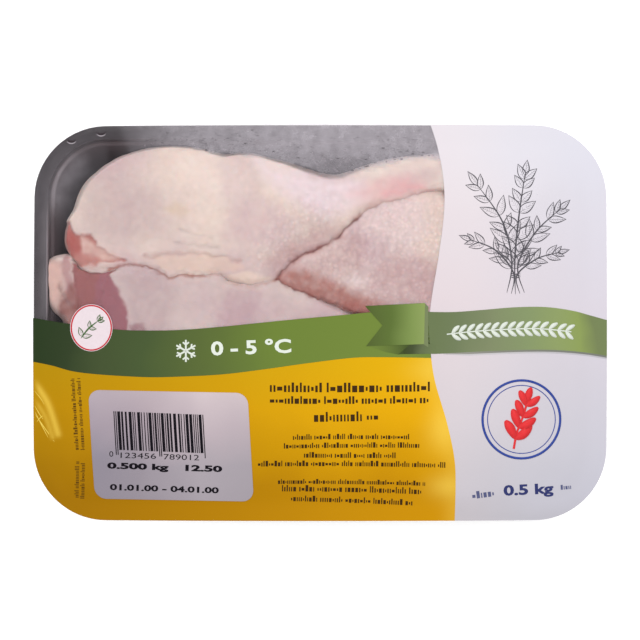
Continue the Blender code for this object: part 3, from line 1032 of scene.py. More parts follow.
def wave(points: Array, size: float, seed: float) -> Array:
    """Smooth random values from -1 to 1 that change over a given size, in metres."""
    offset = Vector((seed * 7.3, seed * 3.1, seed * 5.7))
    return np.array([noise.noise(Vector(p) + offset) for p in points / size])


def ragged(x: Array, y: Array) -> tuple[Array, Array]:
    """Plan coordinates shifted by small random steps, so that seams and edges of tissue aren't ruled lines."""
    flat = np.column_stack([x, y, np.zeros(len(x))])
    across = 0.9 * MM * wave(flat, 3.4 * MM, 31.0) + 0.6 * MM * wave(flat, 1.3 * MM, 33.0)
    along = 0.9 * MM * wave(flat, 3.4 * MM, 35.0) + 0.6 * MM * wave(flat, 1.3 * MM, 37.0)
    return x + across, y + along


def soft_limit(value: Array, limit: Array, blend: float) -> Array:
    """Holds values under a limit, easing into it over a blend distance."""
    return limit - blend * np.logaddexp(0.0, (limit - value) / blend)


@dataclass(frozen=True)
class Patch:
    """An area of the meat seen from above that shows another tissue."""

    colour: str
    outline: tuple[Flat, ...]
    edge: float = 0.7
    strength: float = 1.0
    sink: float = 0.0

    def mask(self, x: Array, y: Array) -> Array:
        """1 inside the patch, 0 outside, with a soft edge of the patch's own width."""
        outline = in_mm(curve_through([*self.outline, self.outline[0]], 5)[:-1])
        return smoothstep(signed_depth(x, y, outline) / (self.edge * MM) + 0.5)


@dataclass(frozen=True)
class Crease:
    """A line where two folds of meat meet: drawn in, and painted darker and redder, partly the seam's redder tissue and
    partly painted shade.
    """

    colour: str
    line: tuple[Flat, ...]
    width: float = 1.6
    strength: float = 0.8
    depth: float = 0.0
    broken: float = 0.5

    def mask(self, x: Array, y: Array) -> Array:
        """1 on the line, falling off to both sides over its width, in millimetres."""
        return bell(distance_to(x, y, in_mm(curve_through(self.line, 4))), self.width * MM)


@dataclass
class Meat:
    """One part of a leg: a form of lumps and limbs with folds laid on it, its tones and its tissues."""

    name: str
    node: str
    shape: PackShape
    tray: Tray
    finish: Material
    form: tuple
    skin: str
    tones: tuple[str, str]
    territory: tuple[Flat, ...]
    patches: tuple[Patch, ...]
    creases: tuple[Crease, ...]
    bumps: float
    seed: float
    folds: tuple = ()
    bump_zone: tuple[Flat, ...] = ()
    lightness: float = 0.80
    tone_size: float = 21.0
    seam_round: float = 1.0
    seam_width: float = 1.9
    voxel: float = 0.70 * MM

    def fused(self) -> Mesh:
        """One skin round the form, smoothed as flesh is, with the crisper folds fused on."""
        bm = bmesh.new()
        for body in self.form:
            body.add_to(bm)
        base = self.remeshed(bm, 1.5 * MM, 7)
        bm = bmesh.new()
        bm.from_mesh(base)
        for fold in self.folds:
            fold.add_to(bm)
        return self.remeshed(bm, self.voxel, 3)

    def remeshed(self, bm: bmesh.types.BMesh, voxel: float, rounds: int) -> Mesh:
        """Fuses overlapping bodies into one smooth skin of small squares."""
        mesh = bpy.data.meshes.new(self.name)
        bmesh.ops.recalc_face_normals(bm, faces=bm.faces)
        bm.to_mesh(mesh)
        bm.free()
        obj = new_object(f"{self.name}_form", mesh)
        remesh = obj.modifiers.new("one_skin", "REMESH")
        remesh.mode = "VOXEL"
        remesh.voxel_size = voxel
        smooth = obj.modifiers.new("soften", "SMOOTH")
        smooth.factor = 0.5
        smooth.iterations = rounds
        made = evaluated_copy(obj)
        bpy.data.objects.remove(obj)
        return made

    def settle(self, points: Array) -> Array:
        """Presses the meat against the film and keeps it inside the tray's walls and above its floor."""
        x, y, z = points.T
        tray = self.tray
        step_z = self.shape.rim - tray.step_depth - tray.step_fall
        upper = self.shape.flange + tray.step_lean
        top = upper + tray.step_width
        wall_low = tray.base_radius + tray.wall
        lean = np.clip((step_z - z) / (step_z - wall_low), 0.0, 1.0)
        round_off = tray.base_radius * tray.base_squeeze * np.clip(1 - z / wall_low, 0.0, 1.0) ** 2
        ledge = smoothstep((z - step_z) / (1.5 * MM))
        need = (top + tray.draft * lean + round_off + 0.5 * MM) * (1 - ledge) + upper * ledge
        spacing = 0.05 * MM
        here = self.shape.depth(x, y, 0.0)
        push = 0.3 * MM * np.logaddexp(0.0, (need - here) / (0.3 * MM))
        grad_x = (self.shape.depth(x + spacing, y, 0.0) - here) / spacing
        grad_y = (self.shape.depth(x, y + spacing, 0.0) - here) / spacing
        x, y = x + push * grad_x, y + push * grad_y
        ceiling = self.shape.film_top(x, y) - self.shape.film_skin - 0.25 * MM - self.seam_drop(x, y)
        z = soft_limit(z, ceiling, 0.6 * MM)
        floor = tray.foot_height + tray.wall + 0.4 * MM
        z = -soft_limit(-z, np.full_like(z, -floor), 0.4 * MM)
        return np.column_stack([x, y, z])

    def seam_drop(self, x: Array, y: Array) -> Array:
        """How far the part lies below the film: rounded off towards its neighbour, and tucked under beyond."""
        x, y = ragged(x, y)
        signed = signed_depth(x, y, in_mm(self.territory))
        rounded = self.seam_round * MM * bell(np.maximum(signed, 0.0), self.seam_width * MM)
        return rounded + 11 * MM * smoothstep(-signed / (4.2 * MM)) + 0.9 * np.maximum(-signed, 0.0)

    def sculpt(self, mesh: Mesh, points: Array) -> Array:
        """Draws the creases in, sinks the bare flesh below the skin's edge and raises the skin's own relief."""
        normals = read(mesh, "normal")
        x, y = ragged(points[:, 0], points[:, 1])
        lift = 0.30 * MM * wave(points, 9 * MM, self.seed) + 0.16 * MM * wave(points, 3.2 * MM, self.seed + 1)
        for patch in self.patches:
            lift = lift - patch.sink * MM * patch.mask(x, y)
        for crease in self.creases:
            lift = lift - crease.depth * MM * crease.mask(x, y)
        lift = lift + 0.5 * MM * self.pores(points) * self.pimples(points)
        points = points + normals * lift[:, None]
        ceiling = self.shape.film_top(points[:, 0], points[:, 1]) - self.shape.film_skin - 0.08 * MM
        points[:, 2] = soft_limit(points[:, 2], ceiling, 0.06 * MM)
        return points

    def pimples(self, points: Array) -> Array:
        """Small round rises on plucked skin: about 0.5 at the middle of each and -0.35 between them."""
        drawn_out = points * np.array([1.15, 0.72, 1.0]) / (2.2 * MM)
        cells = [noise.voronoi(Vector(p), distance_metric="DISTANCE")[0][0] for p in drawn_out]
        return 0.5 - np.clip(cells, 0, 0.85)

    def pores(self, points: Array) -> Array:
        """How strongly the skin is dimpled at each point."""
        x, y, _ = points.T
        share = np.full(len(x), self.bumps)
        return share + (1 - share) * Patch("", self.bump_zone, edge=14.0).mask(x, y) if self.bump_zone else share

    def paint(self, mesh: Mesh, points: Array) -> None:
        """Writes each point's colour and pore strength into the mesh."""
        x, y = ragged(points[:, 0], points[:, 1])
        colour = np.tile(np.array(linear(self.skin)[:3]), (len(x), 1))
        swing = wave(points, self.tone_size * MM, self.seed + 3)
        for code, share in zip(self.tones, (np.clip(swing * 2.2, 0, 1), np.clip(-swing * 2.2, 0, 1))):
            colour = blend(colour, code, share)
        mottle = 0.05 * wave(points, 4.5 * MM, self.seed + 5) + 0.26 * self.pores(points) * self.pimples(points)
        colour = colour * (1 + mottle[:, None] * np.array([0.7, 1.0, 1.0]))
        gaps = smoothstep(0.5 + 1.8 * wave(points, 5.5 * MM, self.seed + 12))
        for patch in self.patches:
            share = patch.mask(x, y) * patch.strength * (1 + 0.35 * wave(points, 2.6 * MM, self.seed + 14))
            colour = blend(colour, patch.colour, np.clip(share, 0, 1))
        # Creases: the seam's redder tissue and painted shade along it
        for crease in self.creases:
            share = crease.mask(x, y) * crease.strength * (1 - crease.broken * gaps)
            colour = blend(colour, crease.colour, share)
        values = np.column_stack([np.clip(colour * self.lightness, 0, 1), np.ones(len(x))])
        write(mesh, "tone", values, "FLOAT_COLOR")
        write(mesh, "pores", self.pores(points))

    def build(self) -> Object:
        """Makes, settles, sculpts and paints the part."""
        mesh = self.fused()
        points = self.settle(read(mesh))
        set_points(mesh, points)
        points = self.sculpt(mesh, points)
        set_points(mesh, points)
        self.paint(mesh, points)
        recoated(mesh, self.finish).shade_smooth()
        return add_piece(new_object(self.name, mesh), "raw_chicken_skin", self.node)


# Where the folds of meat meet, seen from above, in millimetres
UPPER_ON_DRUMSTICK = (
    (-17.6, 17.1), (-11.6, 23.7), (-7.6, 26.8), (1.2, 30.9), (7.5, 34.9), (16, 43.2), (22, 47.2), (30.1, 49.2),
    (42.1, 52.4), (48.1, 54),
)
THIGH_ON_DRUMSTICK = ((-17.6, 17.1), (-10.4, 13.1), (-1.7, 10.3), (5.6, 7.7), (14.3, 4), (24, 0.5), (36, -5))
MEAT_TOP = (
    (-84, 62.5), (-81.9, 65), (-76.7, 67.6), (-71.9, 69), (-61.9, 70.6), (-51.9, 70.2), (-45.9, 69), (-41.1, 67.4),
    (-31.9, 67.8), (-23.2, 66.6), (-12, 64.2), (-4, 61.8), (2, 59.4), (8, 58.6), (14, 60.2), (22, 62.2),
    (31.9, 65), (37.9, 66.2), (43.9, 66.2), (47.9, 65),
)
UPPER_ON_THIGH = (
    (-101.6, 29), (-99.6, 24.6), (-96.6, 21.8), (-92.6, 20.8), (-87.6, 20.4), (-85, 20.8), (-77.7, 23.2), (-68.1, 22),
    (-60.6, 18), (-53.7, 19.2), (-46.1, 18.2), (-41.3, 20), (-36.6, 16.3), (-31.5, 15.1), (-24, 15.4),
    (-17.6, 17.1),
)
# Line at the upper left corner where painted light pales the tray's shaded hollow
CORNER_LIGHT_AND_MIST = ((-105.2, 50), (-103.4, 55), (-100.4, 60), (-97.6, 63.2))
UPPER_GROUND = ((-FAR, 42), (-104, 38), *UPPER_ON_THIGH, *UPPER_ON_DRUMSTICK[1:], (FAR, 62), (FAR, FAR), (-FAR, FAR))
THIGH_GROUND = (
    (-FAR, 42), (-104, 38), *UPPER_ON_THIGH, *THIGH_ON_DRUMSTICK[1:], (FAR, -30), (FAR, -FAR), (-FAR, -FAR),
)
DRUMSTICK_GROUND = (*UPPER_ON_DRUMSTICK, (FAR, 62), (FAR, -30), *reversed(THIGH_ON_DRUMSTICK[1:]))


@dataclass
class Legs:
    """Both legs: one lying on top, and one beneath it that shows as a thigh and a drumstick."""

    shape: PackShape
    tray: Tray
    finish: Material

    def upper(self) -> Meat:
        """The leg on top: a broad thigh on the left, its drumstick running right to the bare ankle."""
        return Meat(
            "upper_leg", "leg_upper", self.shape, self.tray, self.finish,
            form=(
                Lump((-58.8, 43, 37), (40.8, 28.5, 34)),
                Lump((-82.8, 34.5, 36), (21.2, 17.5, 30)),
                Lump((-31, 45, 37), (27, 23.8, 32)),
                Limb(((-33, 43, 37, 24.5), (-20, 44, 37, 23), (-12, 44.7, 37.5, 20.8), (-4, 45.6, 38.5, 17.2),
                    (4, 47, 39.5, 13.8), (11, 49.2, 40.5, 11.4), (20, 54, 41.5, 9.6), (30, 57, 42, 9.3),
                    (46, 59.2, 42, 9)), flatten=1.3),
                # The loose side of the drumstick that closes against the leg beneath
                Limb(((-40, 30, 37, 14), (-25, 27, 37, 15), (-14, 32, 37, 14.5), (-4, 37, 38, 12.5),
                    (6, 42, 39, 11.5), (14, 48, 40, 10.5), (24, 51, 41, 7.8), (38, 53.5, 41, 6.5), (52, 55, 41, 6)),
                    flatten=1.4),
                Lump((51.5, 62.8, 41.5), (8, 5.2, 8.6), (0, 0, 12)),
                Lump((52, 55.2, 41), (7.6, 5, 8.4), (0, 0, -8)),
            ),
            folds=(
                # The roll of loose skin along the thigh, and the shorter one that meets it
                Limb(((-70, 24.6, 41, 2), (-62.1, 23.6, 42.2, 3.6), (-54.1, 23.4, 42.8, 4), (-46.1, 23, 43, 4.1),
                    (-38.1, 22.8, 42.8, 3.7), (-31, 21.8, 42, 2.2)), flatten=0.85, sides=18),
                Limb(((-38.6, 18.6, 41, 1.2), (-34, 18.3, 42, 2.5), (-28, 18.4, 42.4, 3), (-22.5, 18, 41.6, 2.3),
                    (-18.4, 17.4, 40.6, 1)), flatten=0.8, sides=16),
                # The thin edge of skin that hangs below the bare flesh
                Limb(((-96.6, 22.6, 36.5, 0.9), (-91.4, 21.8, 38.4, 1.4), (-85.4, 22.2, 39.4, 1.3),
                    (-79, 23.4, 40.2, 1.2), (-71, 23, 41, 1.4)), flatten=0.8, sides=12),
            ),
            skin="#e6d1ca", tones=("#f0dcd1", "#d9bfbf"), territory=UPPER_GROUND, seam_width=1.5,
            patches=(
                Patch("#cdb5b4", ((-97, 46), (-92, 56), (-80, 60), (-68, 55), (-62, 44), (-64, 34), (-80, 33),
                    (-92, 36)), 11, 0.55),
                Patch("#f6e2da", ((-58, 66), (-46, 70), (-34, 68), (-28, 60), (-30, 50), (-40, 50), (-52, 56)), 8,
                    0.6),
                Patch("#cdb1b8", ((-40, 68), (-31, 67), (-24, 60), (-25, 50), (-33, 44), (-39, 50)), 6, 0.25),
                Patch("#d6b9be", ((-36, 44), (-24, 50), (-9, 41), (-12, 33), (-16, 29), (-28, 30), (-37, 35)), 10,
                    0.6),
                Patch("#f4e1e5", ((-26, 66), (-10, 62), (4, 58), (16, 58), (20, 50), (10, 45), (2, 43), (-8, 48),
                    (-20, 56)), 10, 0.85),
                Patch("#bf9593", ((-18, 21), (-6, 29), (4, 35), (2, 39), (-10, 34), (-22, 25)), 7, 0.45),
                Patch("#ecc0c1", ((12, 51), (20, 56), (28, 59), (36, 59.5), (41, 56), (42, 53), (34, 51), (24, 48)),
                    9, 0.75),
                Patch("#e6a2a6", ((25, 51.5), (30, 55.5), (37, 56), (40, 54), (34, 52), (27, 50)), 5, 0.4),
                Patch("#f4e2da", ((10, 60), (38, 68), (48, 68), (56, 63), (54, 52), (48, 54), (44, 61), (24, 58)), 5,
                    0.75),
                Patch("#d9bd98", ((-62, 46), (-57, 48), (-53, 45), (-55, 42.5), (-60, 43.5)), 3, 0.35),
                Patch("#bd7a74", ((-100.7, 40.4), (-99.2, 37.7), (-97.2, 35.2), (-91.2, 34.8), (-89.6, 31.2),
                    (-86.2, 28.8), (-81.1, 26.2), (-77, 24.6), (-82.1, 24.4), (-86.2, 24.6), (-91.2, 24.2),
                    (-96.2, 22.8), (-100.5, 24), (-106, 30), (-106, 38)), 1.5, 1.25, sink=0.9),
                Patch("#e2beb5", ((-96, 35), (-88.5, 30.5), (-80, 26), (-85, 25), (-92, 25.4), (-95.5, 29)), 2.6,
                    0.85),
                Patch("#b8605a", ((-104, 38), (-99, 36.5), (-96.5, 32), (-96, 28.5), (-101, 27.5), (-106, 30)), 3.4,
                    0.8),
                Patch("#c78a83", ((-97, 29), (-90, 27), (-88, 23.6), (-94, 23), (-100, 24)), 2.4, 0.8),
                Patch("#e6cabc", ((-66, 26), (-55, 27), (-40, 26.5), (-30, 22), (-40, 20.4), (-55, 20.6), (-64, 22)),
                    2.2, 0.7),
                Patch("#ecd4c6", ((-37, 19), (-30, 20.4), (-20, 17.8), (-28, 16), (-35, 16.8)), 1.6, 0.8),
            ),
            creases=(
                Crease("#b88886", UPPER_ON_DRUMSTICK[:7], 2.8, 0.45, broken=0.6),
                Crease("#84423c", UPPER_ON_DRUMSTICK[:6], 0.75, 0.85, broken=0.35),
                Crease("#b98a86", UPPER_ON_DRUMSTICK[5:], 0.6, 0.6),
                Crease("#a5655a", UPPER_ON_THIGH[5:11], 0.55, 0.85, broken=0.25),
                Crease("#c79283", UPPER_ON_THIGH[8:], 0.45, 0.65, broken=0.6),
                Crease("#bf9082", ((-70, 26), (-62, 27.2), (-56, 27.7), (-47.7, 27.7), (-38.9, 26.4), (-32, 24.8)),
                    0.8, 0.4, 0.45, broken=0.4),
                Crease("#b3a09c", ((-60, 33), (-54, 31.6), (-47, 31), (-40, 30.4)), 0.5, 0.35, 0.2, broken=0.8),
                Crease("#b3a09c", ((-56, 37), (-49, 34.6), (-43, 34)), 0.5, 0.3, 0.2, broken=0.8),
            ),
            bumps=0.12,
            bump_zone=((-14, 44), (2, 48), (9, 42), (-2, 31), (-16, 20), (-27, 25), (-22, 36)),
            seed=2,
        )

    def thigh(self) -> Meat:
        """The thigh of the leg beneath, along the front left, with the bare flesh and fat at its cut end."""
        return Meat(
            "lower_thigh", "leg_lower", self.shape, self.tray, self.finish,
            form=(
                Lump((-64, 1, 36), (39, 29, 34), (0, 0, -6)),
                Limb(((-48, 0, 36, 26.5), (-30, -2, 36, 26.2), (-10, -11.5, 36, 25.5), (12, -19.5, 34, 23.5),
                    (30, -25.5, 30, 19)), flatten=1.2),
                Lump((-102.2, 19.5, 39.5), (10.4, 8.5, 11.5)),
                Lump((-99.6, 11.5, 38), (11, 10.5, 14), (0, 0, -20)),
                Lump((-91.5, 0, 36), (11.6, 13, 18), (0, 0, -35)),
            ),
            folds=(
                # The edge of the skin round the bare flesh, and the fat against the tray's wall
                Limb(((-84.6, 20.4, 40.6, 0.8), (-82.6, 16.6, 42.4, 1.1), (-79.6, 11, 44, 1.2), (-77.6, 4.6, 45, 1.1),
                    (-76.6, -3, 45.2, 0.9)), flatten=0.7, sides=12),
                Limb(((-106.6, 23, 41, 2.4), (-107, 17, 41.2, 3), (-105, 10, 40, 2.9), (-101, 4, 38, 2.2),
                    (-96, -2, 36, 1.6)), flatten=0.8, sides=14),
                Limb(((-103.6, 25.6, 39, 1.6), (-105.8, 24.6, 40.4, 2.2), (-107.4, 22, 40.6, 2)), flatten=0.8,
                    sides=12),
            ),
            skin="#e0cbc8", tones=("#ecd9d2", "#d8bcbf"), territory=THIGH_GROUND, lightness=0.76,
            patches=(
                Patch("#cbb3b4", ((-84, 20), (-66, 21), (-58, 14), (-60, 2), (-66, -6), (-76, -4), (-79, 10)), 7,
                    0.65),
                Patch("#d4b2aa", ((-118, 30), (-103, 24), (-102.7, 18), (-101.8, 12), (-99, 7), (-97, 0), (-92, -6),
                    (-118, -6)), 2, 0.9),
                Patch("#e6bfb6", ((-114, 27), (-104, 23), (-103.5, 16), (-106, 9), (-114, 8)), 4, 0.85),
                Patch("#c59a9a", ((-101.6, 28), (-99.8, 24), (-99.2, 17), (-96.2, 8.7), (-93.8, 1.9), (-96, -2),
                    (-99.8, 7.1), (-101.8, 11.9), (-102.7, 18), (-103.4, 22)), 1.6, 0.9, sink=0.3),
                Patch("#a86a6b", ((-99, 24), (-82.2, 22.5), (-84.6, 18.8), (-86, 16.1), (-87, 13.1), (-87.4, 7.5),
                    (-87, 0), (-94, -3), (-97, 4.3), (-97.2, 11.1), (-98.7, 17.1)), 1.6, 1.3, sink=0.9),
                Patch("#a96d77", ((-86.2, 23.5), (-84.1, 18.8), (-80.9, 14.1), (-78.9, 8.7), (-77.5, 3.6),
                    (-77, -2.9), (-78, -8), (-89, -8), (-89.4, 1.1), (-90, 7.5), (-89.6, 13.1), (-88.2, 18.1)), 2.2,
                    1.2, sink=0),
                Patch("#9a635f", ((-104, 8), (-99.5, 16), (-97, 11), (-93, 0), (-99, -5), (-105, 1)), 2.8, 0.85),
                Patch("#a77078", ((-84, 15), (-80.6, 10), (-78.8, 3), (-81, -4), (-85, 4)), 4, 0.5),
                Patch("#a87f86", ((-76, -1), (-71, -0.5), (-69.5, -3.5), (-75, -5)), 1.6, 0.8),
                Patch("#c9a6ae", ((-38, 14), (-26, 14.5), (-24, 6), (-30, -4), (-40, -2)), 6, 0.5),
            ),
            creases=(
                Crease("#a5655a", UPPER_ON_THIGH[5:11], 0.6, 0.7, broken=0.3),
                Crease("#b9786b", UPPER_ON_THIGH[2:6], 0.6, 0.7, broken=0.4),
                Crease("#c0938a", UPPER_ON_THIGH[8:], 0.6, 0.5, broken=0.6),
                Crease("#9a5a52", THIGH_ON_DRUMSTICK, 0.6, 0.75, broken=0.3),
                Crease("#8b6b6c", ((-104.2, 15.6), (-103.6, 12), (-101.6, 9), (-99.6, 7)), 0.7, 0.6, 0.3),
            ),
            bumps=0.14,
            seed=11,
        )

    def drumstick(self) -> Meat:
        """The drumstick of the leg beneath: bent back up to the right, tucked under both thighs."""
        return Meat(
            "lower_drumstick", "leg_lower", self.shape, self.tray, self.finish,
            form=(
                Lump((2, 16, 34), (27, 22, 30), (0, 0, 14)),
                Limb(((8, 15, 34, 25), (25, 21, 34, 31), (42, 25, 33, 33), (60, 28.5, 30, 27), (72, 31, 26.5, 14.5),
                    (84, 32.5, 27.5, 9.4), (93, 32, 27.5, 8.8))),
                Lump((97.5, 36.2, 27.2), (6.2, 5.2, 7), (0, 0, 10)),
                Lump((97.5, 28.8, 27), (6, 5, 6.6), (0, 0, -10)),
            ),
            skin="#e3c9c9", tones=("#ecd6d3", "#d3b4b9"), territory=DRUMSTICK_GROUND,
            lightness=0.78,
            patches=(
                Patch("#f2dad0", ((37, 54), (56, 56), (60, 24), (48, 18), (41, 22), (38, 32)), 6, 0.8),
                Patch("#f3dcda", ((16, 42), (26, 49), (40, 51), (42, 36), (30, 33), (18, 36)), 7, 0.75),
                Patch("#cfabab", ((18, 8), (24, 24), (38, 27), (50, 20), (54, 0), (34, -4)), 8, 0.7),
                Patch("#bd8f8c", ((-14, 20), (2, 29), (14, 36), (18, 26), (8, 16), (-2, 16)), 7, 0.35),
                Patch("#ba837b", ((-20, 17), (-12, 21), (-5, 21), (2, 18), (12, 14), (20, 10), (28, 5), (24, -4),
                    (8, 2), (-6, 8)), 6, 0.9),
                Patch("#b5645a", ((8, 8), (16, 8), (22, 5), (24, -1), (14, 1)), 3, 0.6),
            ),
            creases=(
                Crease("#c08078", UPPER_ON_DRUMSTICK[:5], 1.5, 0.6, broken=0.6),
                Crease("#7c403a", UPPER_ON_DRUMSTICK[:6], 0.6, 0.8, broken=0.35),
                Crease("#b98a86", UPPER_ON_DRUMSTICK[5:], 0.6, 0.6),
                Crease("#b5706a", THIGH_ON_DRUMSTICK, 2.6, 0.5, broken=0.6),
                Crease("#7c403a", THIGH_ON_DRUMSTICK, 0.7, 0.8, broken=0.3),
            ),
            bumps=0.35,
            bump_zone=((-18, 16), (2, 30), (30, 48), (60, 40), (54, 0), (30, -6), (6, 4)),
            seed=23,
        )

    def build(self) -> None:
        """Makes the three parts that show."""
        for part in (self.upper(), self.thigh(), self.drumstick()):
            part.build()


# The film and its print

@dataclass
class LiddingFilm:
    """The clear sheet sealed to the flange."""

    shape: PackShape
    finish: Material
    spacing: float = 1.4 * MM

    def mist_and_light(self, x: Array, y: Array) -> Array:
        """How pale the film's diffuse layer is: condensation along its upper side, but not where the meat touches it, a
        little over the flange, and painted light with some condensation over the tray's shaded hollow at the upper left
        corner.
        """
        above = in_mm([*MEAT_TOP, (60.0, 64.0), (60.0, 90.0), (-84.0, 90.0)])
        signed = distance_to(x, y, in_mm(MEAT_TOP)) * np.where(inside(x, y, above), 1.0, -1.0)
        u, v = x / MM, y / MM
        start = 0.14 * smoothstep((u + 79 + 0.35 * (v - 70)) / 5) + 0.86 * smoothstep((u + 84) / 38)
        deeper = 1 + 0.32 * smoothstep((u + 45) / 45)
        hollow = bell(np.hypot((u - 9) / 17, (v - 60) / 7))
        strip = smoothstep(signed / (1.4 * MM) + 0.62) * start * deeper * (1 - 0.55 * hollow)
        sealed = 0.06 * smoothstep(0.5 - self.shape.depth(x, y, self.shape.flange) / (1.6 * MM))
        # Painted light: a pale layer over the tray's shaded hollow at the upper left corner lightens it, with some
        # condensation
        away = distance_to(x, y, in_mm(CORNER_LIGHT_AND_MIST))
        corner = 0.22 * bell(away, 4.2 * MM) + 0.13 * bell(away, 13 * MM)
        return np.maximum(strip, corner * (signed < 0)) + sealed

    def build(self) -> Object:
        """Makes the film as one thin closed sheet."""
        flat, faces = filled(self.shape.outline(0.0), self.spacing)
        high = self.shape.film_top(*flat.T)
        points, faces = closed_sheet(flat, faces, high - self.shape.film_skin, high)
        film = mesh_piece("lidding_film", points, faces, self.finish)
        write(film.data, "mist_and_light", np.tile(self.mist_and_light(*flat.T), 2))
        return add_piece(film, "clear_film", "lid_film")


@dataclass
class PrintField:
    """A printed field of colour on the film, trimmed at the pack's edge."""

    name: str
    outline: Sequence[Flat]
    finish: Material
    low: float
    high: float
    spacing: float = 2.0 * MM
    wrinkles: Callable[[Array, Array], Array] | None = None
    sheen: Callable[[Array, Array], Array] | None = None

    def build(self, shape: PackShape) -> Object:
        """Makes the field as a thin closed sheet that follows the film."""
        flat, faces = filled(shape.clip(self.outline, 0.05 * MM), self.spacing)
        top = shape.film_top(*flat.T)
        if self.wrinkles:
            top = top + self.wrinkles(*flat.T)
        points, faces = closed_sheet(flat, faces, top + self.low, top + self.high)
        field_piece = mesh_piece(self.name, points, faces, self.finish)
        if self.wrinkles and self.sheen:
            # Painted highlight along the creases and by the white panel's edge
            highlight_share = np.clip(self.wrinkles(*flat.T) / (0.30 * MM), 0.0, 0.75) + self.sheen(*flat.T)
            write(field_piece.data, "stretch", np.tile(highlight_share, 2))
        return add_piece(field_piece, "clear_film")


# Lines of the print, in millimetres from the pack's centre
PANEL_EDGE = (
    (42.6, 84), (46.9, 71), (49.4, 57), (49.5, 44), (47.4, 27), (44.3, 8), (43.7, -4), (45.5, -21.5), (50.6, -39.5),
    (53.7, -54), (54.3, -66), (53.8, -84),
)
BAND_TOP = (
    (-118, 2.5), (-99.8, -0.5), (-80.9, -2.7), (-67.9, -3.1), (-54.9, -2.8), (-38.5, -1.5), (-13.9, 1), (8, 3),
    (20, 4.2),
)
BAND_BOTTOM = (
    (-118, -15), (-107.9, -17), (-95.7, -19.9), (-71.2, -21.6), (-54.8, -21.4), (-38.5, -20.5), (-22.1, -18.5),
    (-5.7, -16.2), (12.4, -14), (24.7, -13.7), (44.3, -14),
)
RIBBON_TOP = ((41.7, 4.4), (53.3, 4.3), (65.6, 5.2), (77.9, 6.2), (90.1, 6.3), (100.7, 4.9), (108.1, 3), (118, 0.2))
RIBBON_BOTTOM = ((31.3, -12.5), (49.2, -12.3), (65.6, -11.5), (81.9, -10.9), (94.2, -11), (106.5, -12), (118, -13.9))
TAIL = ((18, 6.7), (24.9, -1), (18.4, -9.3), (41.5, -8.5), (41.9, 7.9))
TAIL_SIDE = ((41.7, 7.9), (43.2, 6.4), (43.2, -9.8), (41.4, -8.6))
TAIL_SHADOW = ((19.5, -9.3), (30, -8.4), (40, -8.4), (36, -11.6), (31.3, -12.7), (26, -11.6))
FOLD_BACK = ((31.3, -12.5), (36, -8.6), (41.5, -8.4), (45, -8.4), (46.5, -12.36))


def film_creases(x: Array, y: Array) -> Array:
    """Height of the fine wrinkles from stretching that fan in from the film's left edge, and of slack near it."""
    height = np.zeros(len(x))
    fans = (
        ((-114.5, -24.0), (-109.2, -32.0), (-105.0, -44.5), 1.3, 0.16),
        ((-114.5, -31.0), (-110.4, -37.0), (-107.2, -46.0), 0.9, 0.10),
    )
    for start, middle, end, width, rise in fans:
        line = in_mm(curve_through((start, middle, end), 6))
        along = smoothstep((x / MM + 115.0) / 3.0)
        height += rise * MM * bell(distance_to(x, y, line), width * MM) * along
    return height


def edge_sheen(x: Array, y: Array) -> Array:
    """How much paler the yellow is along the white panel, where the taut film catches the light."""
    pale = 0.20 * bell(distance_to(x, y, in_mm(PANEL_EDGE)), 4.5 * MM)
    for cx, cy, rx, ry, share in ((43, -19, 9, 6, 0.27), (48.6, -43, 6.5, 9, 0.38), (50, -65.5, 7, 5, 0.4)):
        pale = pale + share * bell(np.hypot((x / MM - cx) / rx, (y / MM - cy) / ry))
    return pale


